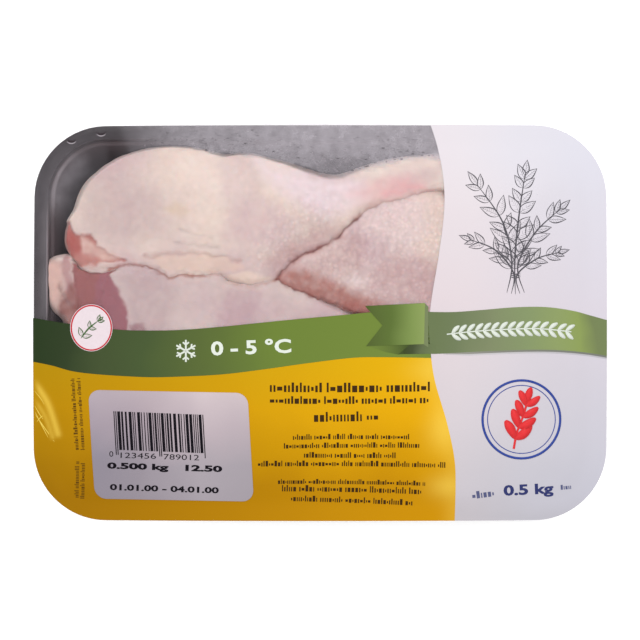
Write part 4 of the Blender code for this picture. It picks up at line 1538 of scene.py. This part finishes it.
@dataclass
class FilmPrint:
    """The printed fields: a white panel, a yellow panel and a green ribbon with a folded tail."""

    shape: PackShape
    layer: float = 0.035 * MM

    def field(self, name: str, outline: Sequence[Flat], ink: str, level: int, fade: Fade, **more) -> None:
        """Prints one field.

        Args:
            name: Name of the piece.
            outline: Its outline.
            ink: Start of the name of its ink.
            level: Which layer of ink over the film it is.
            fade: The ink's colours.
            more: What else the ink or the field takes.
        """
        own = {key: more.pop(key) for key in ("wrinkles", "sheen", "spacing") if key in more}
        finish = FlexoInk(f"{ink}_flexo_ink", fade, **more).build()
        low = 0.03 * MM + 1.3 * self.layer * level
        PrintField(name, outline, finish, low, low + self.layer, **own).build(self.shape)

    def panels(self, band_low: Sequence[Flat]) -> None:
        """The white panel and the yellow one beside it."""
        panel = in_mm(curve_through(PANEL_EDGE))
        middle = min(range(len(panel)), key=lambda i: abs(panel[i][1] + 14 * MM))
        far, top, foot = FAR * MM, panel[0][1], panel[-1][1]
        # Painted shade: the white panel is painted darker towards the bottom
        whites = Fade(Axis.ACROSS, (
            (-78, "#c6c3c9"), (-70, "#cfccd3"), (-52, "#d6d2d8"), (-20, "#dfd8dd"), (8, "#e6dde2"), (50, "#e9e4e9"),
            (78, "#ebe8ee"),
        ))
        blush = Fade(Axis.ALONG, ((44, "#fffafa"), (58, "#fffbfb"), (80, "#fafafd"), (115, "#f7f9ff")))
        self.field("white_panel", [*panel, (far, foot), (far, top)], "white", 0, whites, tint=blush)
        # Partly the print's own gradient and partly painted shade: the yellow darkens towards the bottom, and the dusk
        # tint darkens it towards the left
        yellows = Fade(Axis.ACROSS, (
            (-78, "#bd8502"), (-66, "#bb8402"), (-52, "#cb9403"), (-34, "#d9a104"), (-20, "#d6a408"),
        ))
        dusk = Fade(Axis.ALONG, (
            (-113, "#c8c8cb"), (-92, "#cfcdcf"), (-60, "#dad9d9"), (-20, "#e8e8e8"), (30, "#fbfbfb"), (52, "#ffffff"),
        ))
        self.field(
            "yellow_panel", [*band_low, *panel[middle:], (-far, foot), (-far, band_low[0][1])], "yellow", 0, yellows,
            tint=dusk, density=1.0, stretched="#e8c650", wrinkles=film_creases, sheen=edge_sheen, spacing=0.9 * MM,
        )

    def build(self) -> None:
        """Prints every field, from the lowest to the highest."""
        band_low, band_top, ribbon_low, ribbon_top = (
            in_mm(curve_through(line)) for line in (BAND_BOTTOM, BAND_TOP, RIBBON_BOTTOM, RIBBON_TOP)
        )
        self.panels(band_low)
        self.field("green_band", [*band_top, *in_mm(((24.9, 4.4), (43.0, 3.0))), *reversed(band_low)], "green", 2, Fade(
            Axis.ALONG, (
                (-114, "#2e3e24"), (-100, "#36442a"), (-88, "#475534"), (-70, "#4b5c36"), (-48, "#5c6c38"),
                (-16, "#70853a"), (24, "#768b3e"),
            ),
        ))
        self.field("green_ribbon", [*ribbon_top, *reversed(ribbon_low)], "sage", 2, Fade(Axis.ALONG, (
            (43, "#6f7d56"), (54, "#74815d"), (66, "#838d69"), (80, "#8a9a6c"), (96, "#93a369"), (106, "#92a35e"),
            (110.5, "#7a875a"), (115, "#7a885b"),
        )))
        under = [point for point in ribbon_low if point[0] > 47 * MM]
        for name, ink, level, drop, stops in (
            ("ribbon_soft_shade", "pale_shade", 1, 1.3, ((48, "#d6d1d4"), (80, "#c9c6c9"), (115, "#c2bfc6"))),
            ("ribbon_shade", "shade", 3, 0.65, ((48, "#aba8a2"), (70, "#8a8a80"), (115, "#7e8078"))),
        ):
            foot = [(x, y - drop * min(1.0, (x / MM - 47) / 12) * MM) for x, y in reversed(under)]
            outline = [*((x, y + 0.1 * MM) for x, y in under), *foot]
            self.field(name, outline, ink, level, Fade(Axis.ALONG, stops), spacing=1.0 * MM)
        for name, line, ink, level, stops in (
            ("tail_shadow", TAIL_SHADOW, "shadow", 3, (
                (20, "#74883f"), (26, "#66783b"), (32, "#4d5c30"), (38, "#43512c"),
            )),
            ("ribbon_fold", FOLD_BACK, "fold", 4, (
                (28, "#4d5e2e"), (31, "#424d2b"), (34.5, "#4a5438"), (38, "#65704f"), (43, "#6f7d56"),
            )),
            ("ribbon_side", TAIL_SIDE, "side", 5, ((41, "#7c8860"), (43.2, "#727d58"))),
            ("ribbon_tail", TAIL, "tail", 6, (
                (18, "#566433"), (26, "#617539"), (34, "#839854"), (40.5, "#97a865"), (42, "#8b9765"),
            )),
        ):
            self.field(name, in_mm(line), ink, level, Fade(Axis.ALONG, stops))


# What is printed on the fields: generic marks alone

@dataclass(frozen=True)
class MarkRow:
    """A row of small blocks set in groups, as wide and as heavy as one line of small print."""

    start: Flat
    end: Flat
    height: float
    seed: int
    bend: float = 0.0
    weight: float = 1.0

    def blocks(self) -> list[tuple[float, ...]]:
        """Every block as x, y, width, height and turn, in metres and radians."""
        rng = np.random.default_rng(self.seed)
        (x0, y0), (x1, y1) = self.start, self.end
        length = math.hypot(x1 - x0, y1 - y0)
        turn = math.atan2(y1 - y0, x1 - x0)
        across = (-math.sin(turn), math.cos(turn))
        made = []
        at = 0.0
        left = int(rng.integers(5, 16))
        while at < length - 0.2 * self.height:
            width = self.height * float(rng.choice([0.16, 0.2, 0.2, 0.42])) * self.weight
            tall = self.height * float(rng.choice([0.68, 0.68, 0.68, 0.98, 0.4]))
            share = (at + width / 2) / length
            rise = 4 * self.bend * share * (1 - share) + (max(tall, 0.68 * self.height) - 0.68 * self.height) / 2
            place = (x0 + (x1 - x0) * share + across[0] * rise, y0 + (y1 - y0) * share + across[1] * rise)
            made.append((place[0] * MM, place[1] * MM, width * MM, tall * MM, turn))
            left -= 1
            at += width + self.height * (0.17 if left else 0.5)
            if not left:
                left = int(rng.integers(5, 16))
        return made


@dataclass(frozen=True)
class Figures:
    """Plain figures set in a line, like those on a scale."""

    text: str
    centre: Flat
    width: float
    height: float
    turn: float = 0.0
    bold: float = 0.0

    def build(self, name: str, finish: Material, thickness: float) -> Object:
        """Makes the figures as a closed flat mesh that fills the given width and height."""
        curve = bpy.data.curves.new(name, "FONT")
        curve.body = self.text
        curve.extrude = 0.5
        curve.offset = self.bold
        curve.resolution_u = 3
        obj = new_object(name, curve)
        mesh = evaluated_copy(obj)
        bpy.data.objects.remove(obj)
        tidied(mesh, merge=1e-5)
        points = read(mesh)
        low = points.min(axis=0)
        points = (points - low) / (points.max(axis=0) - low) - np.array([0.5, 0.5, 0.0])
        x, y, z = (points * np.array([self.width * MM, self.height * MM, thickness])).T
        cos, sin = math.cos(math.radians(self.turn)), math.sin(math.radians(self.turn))
        set_points(mesh, np.column_stack([
            x * cos - y * sin + self.centre[0] * MM, x * sin + y * cos + self.centre[1] * MM, z,
        ]))
        return new_object(name, recoated(mesh, finish))


def stroke(points: Sequence[Flat], width: float, taper: bool = True, between: int = 4) -> Stroke:
    """A smooth stroke through points in millimetres, pointed at both ends where it tapers."""
    path = curve_through(points, between) if len(points) > 2 else list(points)
    swells = [0.25 + 0.75 * math.sin(math.pi * i / (len(path) - 1)) if taper else 1.0 for i in range(len(path))]
    return [(x * MM, y * MM, width * swell * MM) for (x, y), swell in zip(path, swells)]


def leaf_side(base: Flat, angle: float, length: float, width: float, side: int, steps: int = 9) -> list[Flat]:
    """One side of a pointed leaf, from its base to its tip, in millimetres."""
    cos, sin = math.cos(angle), math.sin(angle)
    line = []
    for t in (k / steps for k in range(steps + 1)):
        out = side * width / 2 * math.sin(math.pi * t ** 0.8) * (1 - 0.25 * t)
        line.append((base[0] + length * t * cos - out * sin, base[1] + length * t * sin + out * cos))
    return line


def toward(start: Flat, end: Flat, share: float) -> Flat:
    """The point at a share of the way from one point to another."""
    return start[0] + (end[0] - start[0]) * share, start[1] + (end[1] - start[1]) * share


def engraved_leaf(base: Flat, angle: float, length: float, width: float, line: float) -> list[Stroke]:
    """A leaf in engraver's lines: its outline, its rib and shading along one half."""
    left, right = (leaf_side(base, angle, length, width, side) for side in (1, -1))
    strokes = [stroke(left, line, between=2), stroke(right, line * 1.25, between=2), stroke([base, left[-1]], line)]
    count = max(4, int(length / 0.85))
    for k in range(1, count):
        t = k / count
        i, share = divmod(t * (len(right) - 1), 1)
        i = int(i)
        rib = toward(base, left[-1], max(t - 0.14, 0.0))
        strokes.append(stroke([rib, toward(right[i], right[i + 1], share)], line * 0.8))
        if k % 2:
            strokes.append(stroke([rib, toward(rib, toward(left[i], left[i + 1], share), 0.55)], line * 0.6))
    return strokes


def heading(path: Sequence[Flat], i: int) -> float:
    """The angle in which a path runs on from one of its points."""
    return math.atan2(path[i + 1][1] - path[i][1], path[i + 1][0] - path[i][0])


@dataclass(frozen=True)
class Sprig:
    """A kitchen herb sprig in engraver's lines: a curved stem with leaves on both sides."""

    stem: tuple[Flat, ...]
    leaves: int
    length: float
    width: float
    spread: float = 48.0
    line: float = 0.26
    bare: float = 0.16

    def strokes(self) -> list[Stroke]:
        """Every stroke of the sprig."""
        path = curve_through(self.stem, 12)
        made = [stroke(path, self.line * 1.9, between=1)]
        for k in range(self.leaves):
            t = self.bare + (0.96 - self.bare) * k / max(self.leaves - 1, 1)
            i = min(int(t * (len(path) - 1)), len(path) - 2)
            size = 1 - 0.45 * t + 0.1 * math.sin(3.7 * k)
            for side in (1, -1):
                turn = side * math.radians(self.spread * (1 - 0.35 * t) + 5 * math.sin(2.3 * k + side))
                leaf = (heading(path, i) + turn, self.length * size, self.width * size, self.line)
                made += engraved_leaf(path[i], *leaf)
        last = heading(path, len(path) - 2)
        return made + engraved_leaf(path[-1], last, self.length * 0.6, self.width * 0.55, self.line)


def leafy_stem(
    points: Sequence[Flat], line: float, reach: float, breadth: float, every: int, narrowing: float = 0.0,
) -> list[Stroke]:
    """A plain stem with pairs of solid leaves.

    Args:
        points: Points of the stem, in millimetres.
        line: Width of the stem.
        reach: Length of a leaf.
        breadth: Width of a leaf.
        every: Steps of the stem from one pair to the next.
        narrowing: By which share the leaves at the tip are smaller.

    Returns:
        The strokes of the stem and its leaves.
    """
    spine = curve_through(points, 12)
    made = [stroke(spine, line, taper=False, between=1)]
    for k in range(every, len(spine) - 2, every):
        size = 1 - narrowing * k / len(spine)
        for side in (1, -1):
            tip = polar(spine[k], heading(spine, k) + side * math.radians(40), reach * size)
            middle = ((spine[k][0] + tip[0]) / 2, (spine[k][1] + tip[1]) / 2 + side * 0.07 * reach * size)
            made.append(stroke([spine[k], middle, tip], breadth * size))
    return made


def snow_star(centre: Flat, radius: float, line: float) -> list[Stroke]:
    """A plain six-armed snow star, as on a fridge dial."""
    made = []
    for angle in (math.radians(60 * arm + 30) for arm in range(6)):
        made.append(stroke([centre, polar(centre, angle, radius)], line, taper=False))
        at = polar(centre, angle, 0.55 * radius)
        for side in (1, -1):
            tip = polar(at, angle + side * math.radians(50), 0.36 * radius)
            made.append(stroke([at, tip], line * 0.9, taper=False))
    return made


def ellipse(centre: Flat, radii: Flat, steps: int = 48) -> list[Flat]:
    """Points round an ellipse, the last one on the first, in millimetres."""
    turns = [2 * math.pi * k / steps for k in range(steps + 1)]
    return [(centre[0] + radii[0] * math.cos(a), centre[1] + radii[1] * math.sin(a)) for a in turns]


def ring(centre: Flat, radii: Flat, line: float, steps: int = 48) -> Stroke:
    """A closed ring as one stroke."""
    return stroke(ellipse(centre, radii, steps), line, taper=False, between=1)


@dataclass
class PriceLabel:
    """The shop's paper label: bars, plain figures and a weight, on the yellow panel."""

    shape: PackShape
    paper: Material
    toner: Material
    corners: tuple[Flat, ...] = ((-92.7, -26.8), (-90.1, -70.4), (-26.5, -71.6), (-28.9, -28.0))
    radius: float = 4.6
    lift: float = 0.10 * MM
    thickness: float = 0.16 * MM
    bar_parts: int = 8

    def outline(self) -> list[Flat]:
        """The label's outline with rounded corners."""
        points: list[Flat] = []
        for i, corner in enumerate(self.corners):
            here = Vector(corner)
            back = (Vector(self.corners[i - 1]) - here).normalized()
            ahead = (Vector(self.corners[(i + 1) % len(self.corners)]) - here).normalized()
            centre = here + (back + ahead) * self.radius
            for t in (math.radians(90 * step / 8) for step in range(9)):
                spot = centre - ahead * self.radius * math.cos(t) - back * self.radius * math.sin(t)
                points.append((spot.x * MM, spot.y * MM))
        return points

    def bars(self) -> list[tuple[float, ...]]:
        """Bars of random width, with longer guard bars at both ends and in the middle."""
        rng = np.random.default_rng(7)
        made = []
        modules = 95
        start, end = (-82.5, -35.3), (-46.6, -36.7)
        dx, dy = (end[0] - start[0]) / modules, (end[1] - start[1]) / modules
        lean = 0.055
        at = 0
        while at < modules:
            guard = at < 3 or 45 <= at < 50 or at >= 92
            wide = 1 if guard else int(rng.choice([1, 1, 2, 3]))
            part = (17.4 if guard else 15.4) / self.bar_parts
            x, y = start[0] + dx * (at + wide / 2), start[1] + dy * (at + wide / 2)
            # Each bar is set in short lengths, so that it follows the label
            for down in (part * (k + 0.5) for k in range(self.bar_parts)):
                made.append(((x + lean * down) * MM, (y - down) * MM, wide * dx * MM, part * 1.02 * MM, lean))
            at += wide + (1 if guard else int(rng.choice([1, 1, 2])))
        return made

    def build(self) -> None:
        """Makes the paper and what is printed on it."""
        flat, faces = filled(self.outline(), 1.5 * MM)
        low = self.shape.film_top(*flat.T) + self.lift
        points, faces = closed_sheet(flat, faces, low, low + self.thickness)
        add_piece(mesh_piece("paper_label", points, faces, self.paper), "label_paper", "price_label")
        pieces = [BlockPress(self.toner, 0.03 * MM).press("label_bars", self.bars())]
        for name, *line in (
            ("label_code_first", "0", (-83.4, -52.4), 1.6, 2.2, -1.2),
            ("label_code_left", "123456", (-72.6, -53.1), 14.2, 2.2, -1.6),
            ("label_code_right", "789012", (-55.4, -53.7), 14.2, 2.2, -1.6),
            ("label_weight_figures", "0.500 kg   12.50", (-62.1, -58.1), 46.0, 3.3, -1.8, 0.045),
            ("label_date_figures", "01.01.00 - 04.01.00", (-62.3, -66.4), 43.6, 2.5, -1.8, 0.035),
        ):
            pieces.append(Figures(*line).build(name, self.toner, 0.03 * MM))
        for piece in pieces:
            self.shape.drape(piece.data, self.lift + self.thickness + 0.01 * MM)
            add_piece(piece, "label_paper")


@dataclass
class PrintedMarks:
    """The generic marks on the film's print: rows of blocks, figures, a snow star, herb sprigs and rings, and painted
    glints on the film.
    """

    shape: PackShape
    on_panel: float = 0.09 * MM
    on_band: float = 0.19 * MM
    ink: float = 0.03 * MM

    def lay(self, piece: Object, lift: float) -> None:
        """Drapes a flat piece over the print and reports it."""
        self.shape.drape(piece.data, lift)
        add_piece(piece, "clear_film")

    def rows(self, name: str, finish: Material, *rows: tuple) -> None:
        """Presses rows of small blocks, each given as a mark row's values, on the panels."""
        blocks = [block for row in rows for block in MarkRow(*row).blocks()]
        self.lay(BlockPress(finish, self.ink).press(name, blocks), self.on_panel)

    def lines(self, name: str, finish: Material, strokes: Sequence[Stroke], lift: float) -> None:
        """Engraves strokes at a height over the film."""
        self.lay(LineGraver(finish).engrave(name, strokes), lift)

    def small_print(self) -> None:
        """The rows of small blocks, in the places of the pack's small print."""
        self.rows(
            "yellow_panel_rows", PlainInk("black_flexo_ink", "#33200c", "#432d14").build(),
            ((-20.0, -26.2), (43.9, -26.0), 3.9, 3, -0.3, 1.25), ((-20.0, -31.2), (44.3, -31.0), 3.1, 4, -0.2, 1.35),
            ((-2.4, -38.2), (23.2, -37.8), 4.0, 5), ((-10.8, -46.0), (35.9, -45.8), 2.2, 6, 0.2),
            ((-14.4, -49.5), (39.9, -49.2), 2.2, 7, 0.2), ((-6.4, -53.1), (30.8, -53.3), 2.3, 8),
            ((-24.8, -56.7), (50.2, -57.2), 2.3, 9, 0.4), ((-16.8, -63.8), (42.7, -64.6), 2.0, 10, 0.3),
            ((-15.2, -66.6), (40.7, -67.8), 2.6, 11, 0.3), ((-11.6, -70.6), (37.5, -72.4), 2.4, 12, 0.2),
        )
        self.rows(
            "yellow_side_rows", PlainInk("brown_flexo_ink", "#4e3408", "#66460e").build(),
            ((-97.1, -50.8), (-98.9, -21.8), 1.7, 21), ((-94.7, -50.8), (-96.5, -21.8), 1.7, 22),
            ((-97.3, -70.0), (-96.9, -55.2), 1.8, 23), ((-95.0, -70.4), (-94.6, -55.8), 1.8, 24),
        )

    def film_glints(self) -> None:
        """Painted glints: thin bright lines where the film is drawn taut over the flange at the left."""
        pale = PlainInk("gloss_on_pulled_film", "#d9b63a", "#ecd267").build()
        lines = (
            ((-114.2, -35.6), (-111.8, -40.4), (-108.9, -46.0)), ((-114.0, -36.8), (-110.4, -42.0), (-106.4, -47.6)),
            ((-114.3, -33.2), (-112.6, -36.2), (-111.0, -38.6)), ((-113.4, -39.6), (-111.8, -37.8), (-110.2, -36.6)),
            ((-114.4, -27.2), (-110.6, -32.2), (-107.8, -38.0)),
        )
        self.lines("film_glints", pale, [stroke(line, 0.34) for line in lines], self.on_panel)

    def band_marks(self) -> None:
        """White marks on the green band and ribbon, and the round seal at the band's left."""
        white = PlainInk("white_band_ink", "#ccd3c8", "#d9ded5").build()
        figures = Figures("0 - 5 °C", (-27.5, -9.6), 32.0, 6.0, 2.0, 0.03)
        self.lay(figures.build("band_figures", white, self.ink), self.on_band)
        self.lines("band_snow_star", white, snow_star((-53.5, -11.2), 4.4, 0.75), self.on_band)
        spine = ((50.6, -4.6), (62.0, -3.4), (75.0, -2.6), (88.0, -2.4), (100.6, -3.6))
        self.lines("ribbon_vine", white, leafy_stem(spine, 0.5, 4.4, 1.7, 3), self.on_band)
        centre = (-91.4, -2.0)
        edge = in_mm(ellipse(centre, (8.6, 9.4), 40)[:-1])
        disc = PlainInk("white_seal_ink", "#d2c3c8", "#dccfd4").build()
        PrintField("seal_disc", edge, disc, self.on_band, self.on_band + self.ink, 1.0 * MM).build(self.shape)
        top = self.on_band + 0.05 * MM
        red = PlainInk("red_seal_ink", "#b8242f", "#c6343a").build()
        self.lines("seal_ring", red, [ring(centre, (8.1, 8.9), 0.55)], top)
        green = PlainInk("green_seal_ink", "#3f5c33", "#4f7040").build()
        twig = Sprig(((-95.6, -6.2), (-92.6, -2.4), (-88.6, 0.8)), 3, 4.4, 2.0, 55.0, 0.34)
        self.lines("seal_sprig", green, twig.strokes(), top)

    def herbs(self) -> None:
        """A bunch of herb sprigs in grey engraver's lines on the white panel, tied near its foot."""
        strokes = [line for sprig in (
            Sprig(((74.6, 12.0), (76.6, 24.0), (73.0, 40.0), (63.0, 55.0)), 7, 11.5, 4.8, 52.0, 0.34, 0.30),
            Sprig(((78.0, 11.4), (77.8, 26.0), (79.6, 44.0), (82.0, 59.0)), 8, 10.5, 5.2, 56.0, 0.34, 0.30),
            Sprig(((81.6, 12.0), (79.0, 23.0), (86.0, 36.0), (95.5, 45.0)), 6, 10.5, 4.4, 50.0, 0.34, 0.34),
            Sprig(((76.4, 11.6), (77.2, 20.0), (70.0, 29.0), (60.5, 33.0)), 4, 9.0, 3.6, 46.0, 0.32, 0.50),
            Sprig(((79.8, 11.6), (78.6, 19.0), (86.5, 25.5), (95.0, 28.0)), 4, 8.5, 3.4, 46.0, 0.32, 0.50),
        ) for line in sprig.strokes()]
        strokes += [stroke([(75.9, y), (77.9, y - 0.5), (80.1, y)], 0.45) for y in (18.4 + 0.75 * k for k in range(3))]
        grey = PlainInk("grey_engraving_ink", "#4b494e", "#5f5c63").build()
        self.lines("herb_sprigs", grey, strokes, self.on_panel)

    def emblem(self) -> None:
        """A navy ring round a red leafy twig, with the weight below it."""
        centre = (80.5, -38.6)
        rings = [ring(centre, (15.6, 15.6), 0.95, 72), ring(centre, (13.6, 13.6), 0.35, 72)]
        self.lines("emblem_rings", PlainInk("navy_emblem_ink", "#2f418c", "#3a4d98").build(), rings, self.on_panel)
        twig = ((77.4, -50.4), (78.6, -44.0), (81.0, -37.6), (82.8, -31.6))
        leaves = [*leafy_stem(twig, 0.9, 9.0, 4.0, 8, 0.3), stroke([(82.8, -31.6), (83.4, -28.6), (84.4, -25.8)], 3.0)]
        self.lines("emblem_twig", PlainInk("red_emblem_ink", "#d02c30", "#dc3c3e").build(), leaves, self.on_panel)
        dark = PlainInk("dark_navy_ink", "#2b3161", "#373d6d").build()
        weight = Figures("0.5 kg", (83.5, -67.3), 20.0, 5.6, 3.0, 0.035)
        self.lay(weight.build("weight_figures", dark, self.ink), self.on_panel)
        self.rows(
            "weight_side_rows", PlainInk("slate_flexo_ink", "#4a4e72", "#5b5f80").build(),
            ((61.0, -69.6), (69.8, -68.4), 3.0, 41), ((96.4, -66.2), (101.6, -65.8), 2.0, 42),
        )

    def build(self) -> None:
        """Makes every mark."""
        for part in (self.small_print, self.film_glints, self.band_marks, self.herbs, self.emblem):
            part()


@dataclass
class Condensation:
    """Water that has settled under the film above the meat, in fine drops."""

    shape: PackShape
    water: Material

    def build(self) -> None:
        """Scatters the drops under the film along the meat's upper edge."""
        zone = in_mm((*MEAT_TOP, (46.0, 72.0), (41.0, 78.5), (-78.0, 78.5)))
        flat, faces = filled(self.shape.clip(zone, 2 * MM), 1.5 * MM)
        x, y = flat.T
        near = distance_to(x, y, in_mm(MEAT_TOP))
        thick = np.clip(1.15 - near / (11 * MM), 0.12, 1.0) * smoothstep((near - 0.3 * MM) / (1.0 * MM))
        thick *= smoothstep((x / MM + 72) / 8)
        thick *= np.clip(0.55 + 0.9 * wave(np.column_stack([flat, np.zeros(len(x))]), 9 * MM, 4.0), 0.05, 1)
        points = np.column_stack([flat, self.shape.film_top(x, y) - self.shape.film_skin - 0.05 * MM])
        sketch = new_mesh("drops", points, faces=[face[::-1] for face in faces])
        write(sketch, "drops", thick)
        for name, sizes, seed in (("fine_drops", (0.62, 0.22, 0.52), 3), ("large_drops", (2.4, 0.42, 0.72), 5)):
            sprinkler = DropletSprinkler(self.water, *(size * MM for size in sizes), seed)
            add_piece(sprinkler.grow(name, sketch.copy()), "clear_film")


@dataclass
class SealDimples:
    """Two small dents that the sealing bar left in the film over the flange, each drawn as a painted shadow arc over a
    painted highlight arc.
    """

    shape: PackShape
    places: tuple[Flat, ...] = ((-87.7, 77.0), (-99.6, 74.0))
    radius: float = 1.9

    def arc(self, centre: Flat, drop: float, width: float) -> Stroke:
        """One arc, open at the top, that lies a little lower than the centre by a drop."""
        reach = self.radius
        angles = [math.radians(200 + 14 * k) for k in range(11)]
        path = [(centre[0] + reach * math.cos(a), centre[1] - drop + 0.75 * reach * math.sin(a)) for a in angles]
        return stroke(path, width)

    def build(self) -> None:
        """Lays the painted shadow arcs and the painted highlight arcs on the film."""
        for name, ink, drop, width in (
            ("dimple_shadows", PlainInk("shadow_in_sealed_film", "#332c30", "#3d3539"), 0.0, 0.9),
            ("dimple_glints", PlainInk("gloss_on_sealed_film", "#a49ca2", "#b5adb3"), 0.75, 0.4),
        ):
            arcs = [self.arc(place, drop, width) for place in self.places]
            piece = LineGraver(ink.build()).engrave(name, arcs)
            self.shape.drape(piece.data, 0.03 * MM)
            add_piece(piece, "clear_film")


# The stage

@dataclass(frozen=True)
class Softbox:
    """A large soft lamp that looks at the pack."""

    name: str
    place: tuple[float, float, float]
    size: float
    power: float
    in_gloss: bool = True

    def build(self) -> None:
        """Adds the lamp."""
        data = bpy.data.lights.new(self.name, "AREA")
        data.shape = "DISK"
        data.size = self.size
        data.energy = self.power
        lamp = new_object(self.name, data)
        lamp.location = self.place
        lamp.rotation_euler = (-Vector(self.place)).to_track_quat("-Z", "Y").to_euler()
        lamp.visible_camera = False
        lamp.visible_glossy = self.in_gloss


@dataclass
class Stage:
    """A pale floor, a bright studio and a camera that looks straight down."""

    shape: PackShape
    distance: float = 1.2
    frame_width: float = 256.45 * MM
    centre_y: float = 1.12 * MM
    floor_size: float = 8.0
    lamps: tuple[Softbox, ...] = field(default_factory=lambda: (
        Softbox("overhead_softbox", (0.0, 0.0, 1.6), 1.4, 17.0, in_gloss=False),
        Softbox("upper_softbox", (0.05, 1.05, 0.95), 0.9, 5.0),
        Softbox("left_softbox", (-1.1, 0.1, 0.9), 0.8, 2.0),
    ))

    def add_floor(self) -> None:
        """Lays the floor just under the tray."""
        made = bpy.data.materials.new("studio_floor")
        made.use_nodes = True
        feed(made.node_tree.nodes["Principled BSDF"], {
            "Base Color": linear("#fbfbfb"), "Roughness": 0.9, "Emission Color": linear("#ffffff"),
            "Emission Strength": 0.35,
        })
        half = self.floor_size / 2
        corners = [(-half, -half, 0), (half, -half, 0), (half, half, 0), (-half, half, 0)]
        floor = mesh_piece("studio_floor", corners, [(0, 1, 2, 3)], made)

    def add_world(self) -> None:
        """Lights everything evenly from all sides."""
        world = bpy.data.worlds.new("studio")
        world.use_nodes = True
        feed(world.node_tree.nodes["Background"], {"Color": linear("#ffffff"), "Strength": 0.5})
        world.cycles_visibility.glossy = False
        bpy.context.scene.world = world

    def add_camera(self) -> None:
        """Sets the camera over the pack so that the rim's plane fills the picture as the photograph shows it."""
        data = bpy.data.cameras.new("camera")
        data.sensor_width = 36.0
        data.lens = data.sensor_width * self.distance / self.frame_width
        camera = new_object("camera", data)
        camera.location = (0.0, self.centre_y, self.shape.rim + self.distance)
        bpy.context.scene.camera = camera

    def build(self) -> None:
        """Sets the whole stage."""
        bpy.context.scene.view_settings.view_transform = "Standard"
        self.add_floor()
        self.add_world()
        self.add_camera()
        for lamp in self.lamps:
            lamp.build()


def main() -> None:
    """Builds every piece of the pack and the stage."""
    logging.basicConfig(level=logging.INFO, format="%(name)s: %(message)s")
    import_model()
    shape = PackShape.from_solids()
    Stage(shape).build()
    tray = Tray(shape, ThermoformedPlastic("thermoformed_polypropylene").build())
    tray.build()
    paper = ThermalPaper("coated_label_paper").build()
    toner = PlainInk("black_thermal_print", "#100d12", "#1b171f").build()
    for part in (
        Legs(shape, tray, RawSkin("raw_chicken_skin").build()),
        LiddingFilm(shape, ClearFilm("clear_lidding_film").build()),
        FilmPrint(shape),
        Condensation(shape, WaterDrop("condensed_water").build()),
        SealDimples(shape),
        PriceLabel(shape, paper, toner),
        PrintedMarks(shape),
    ):
        part.build()


if __name__ == "__main__":
    main()
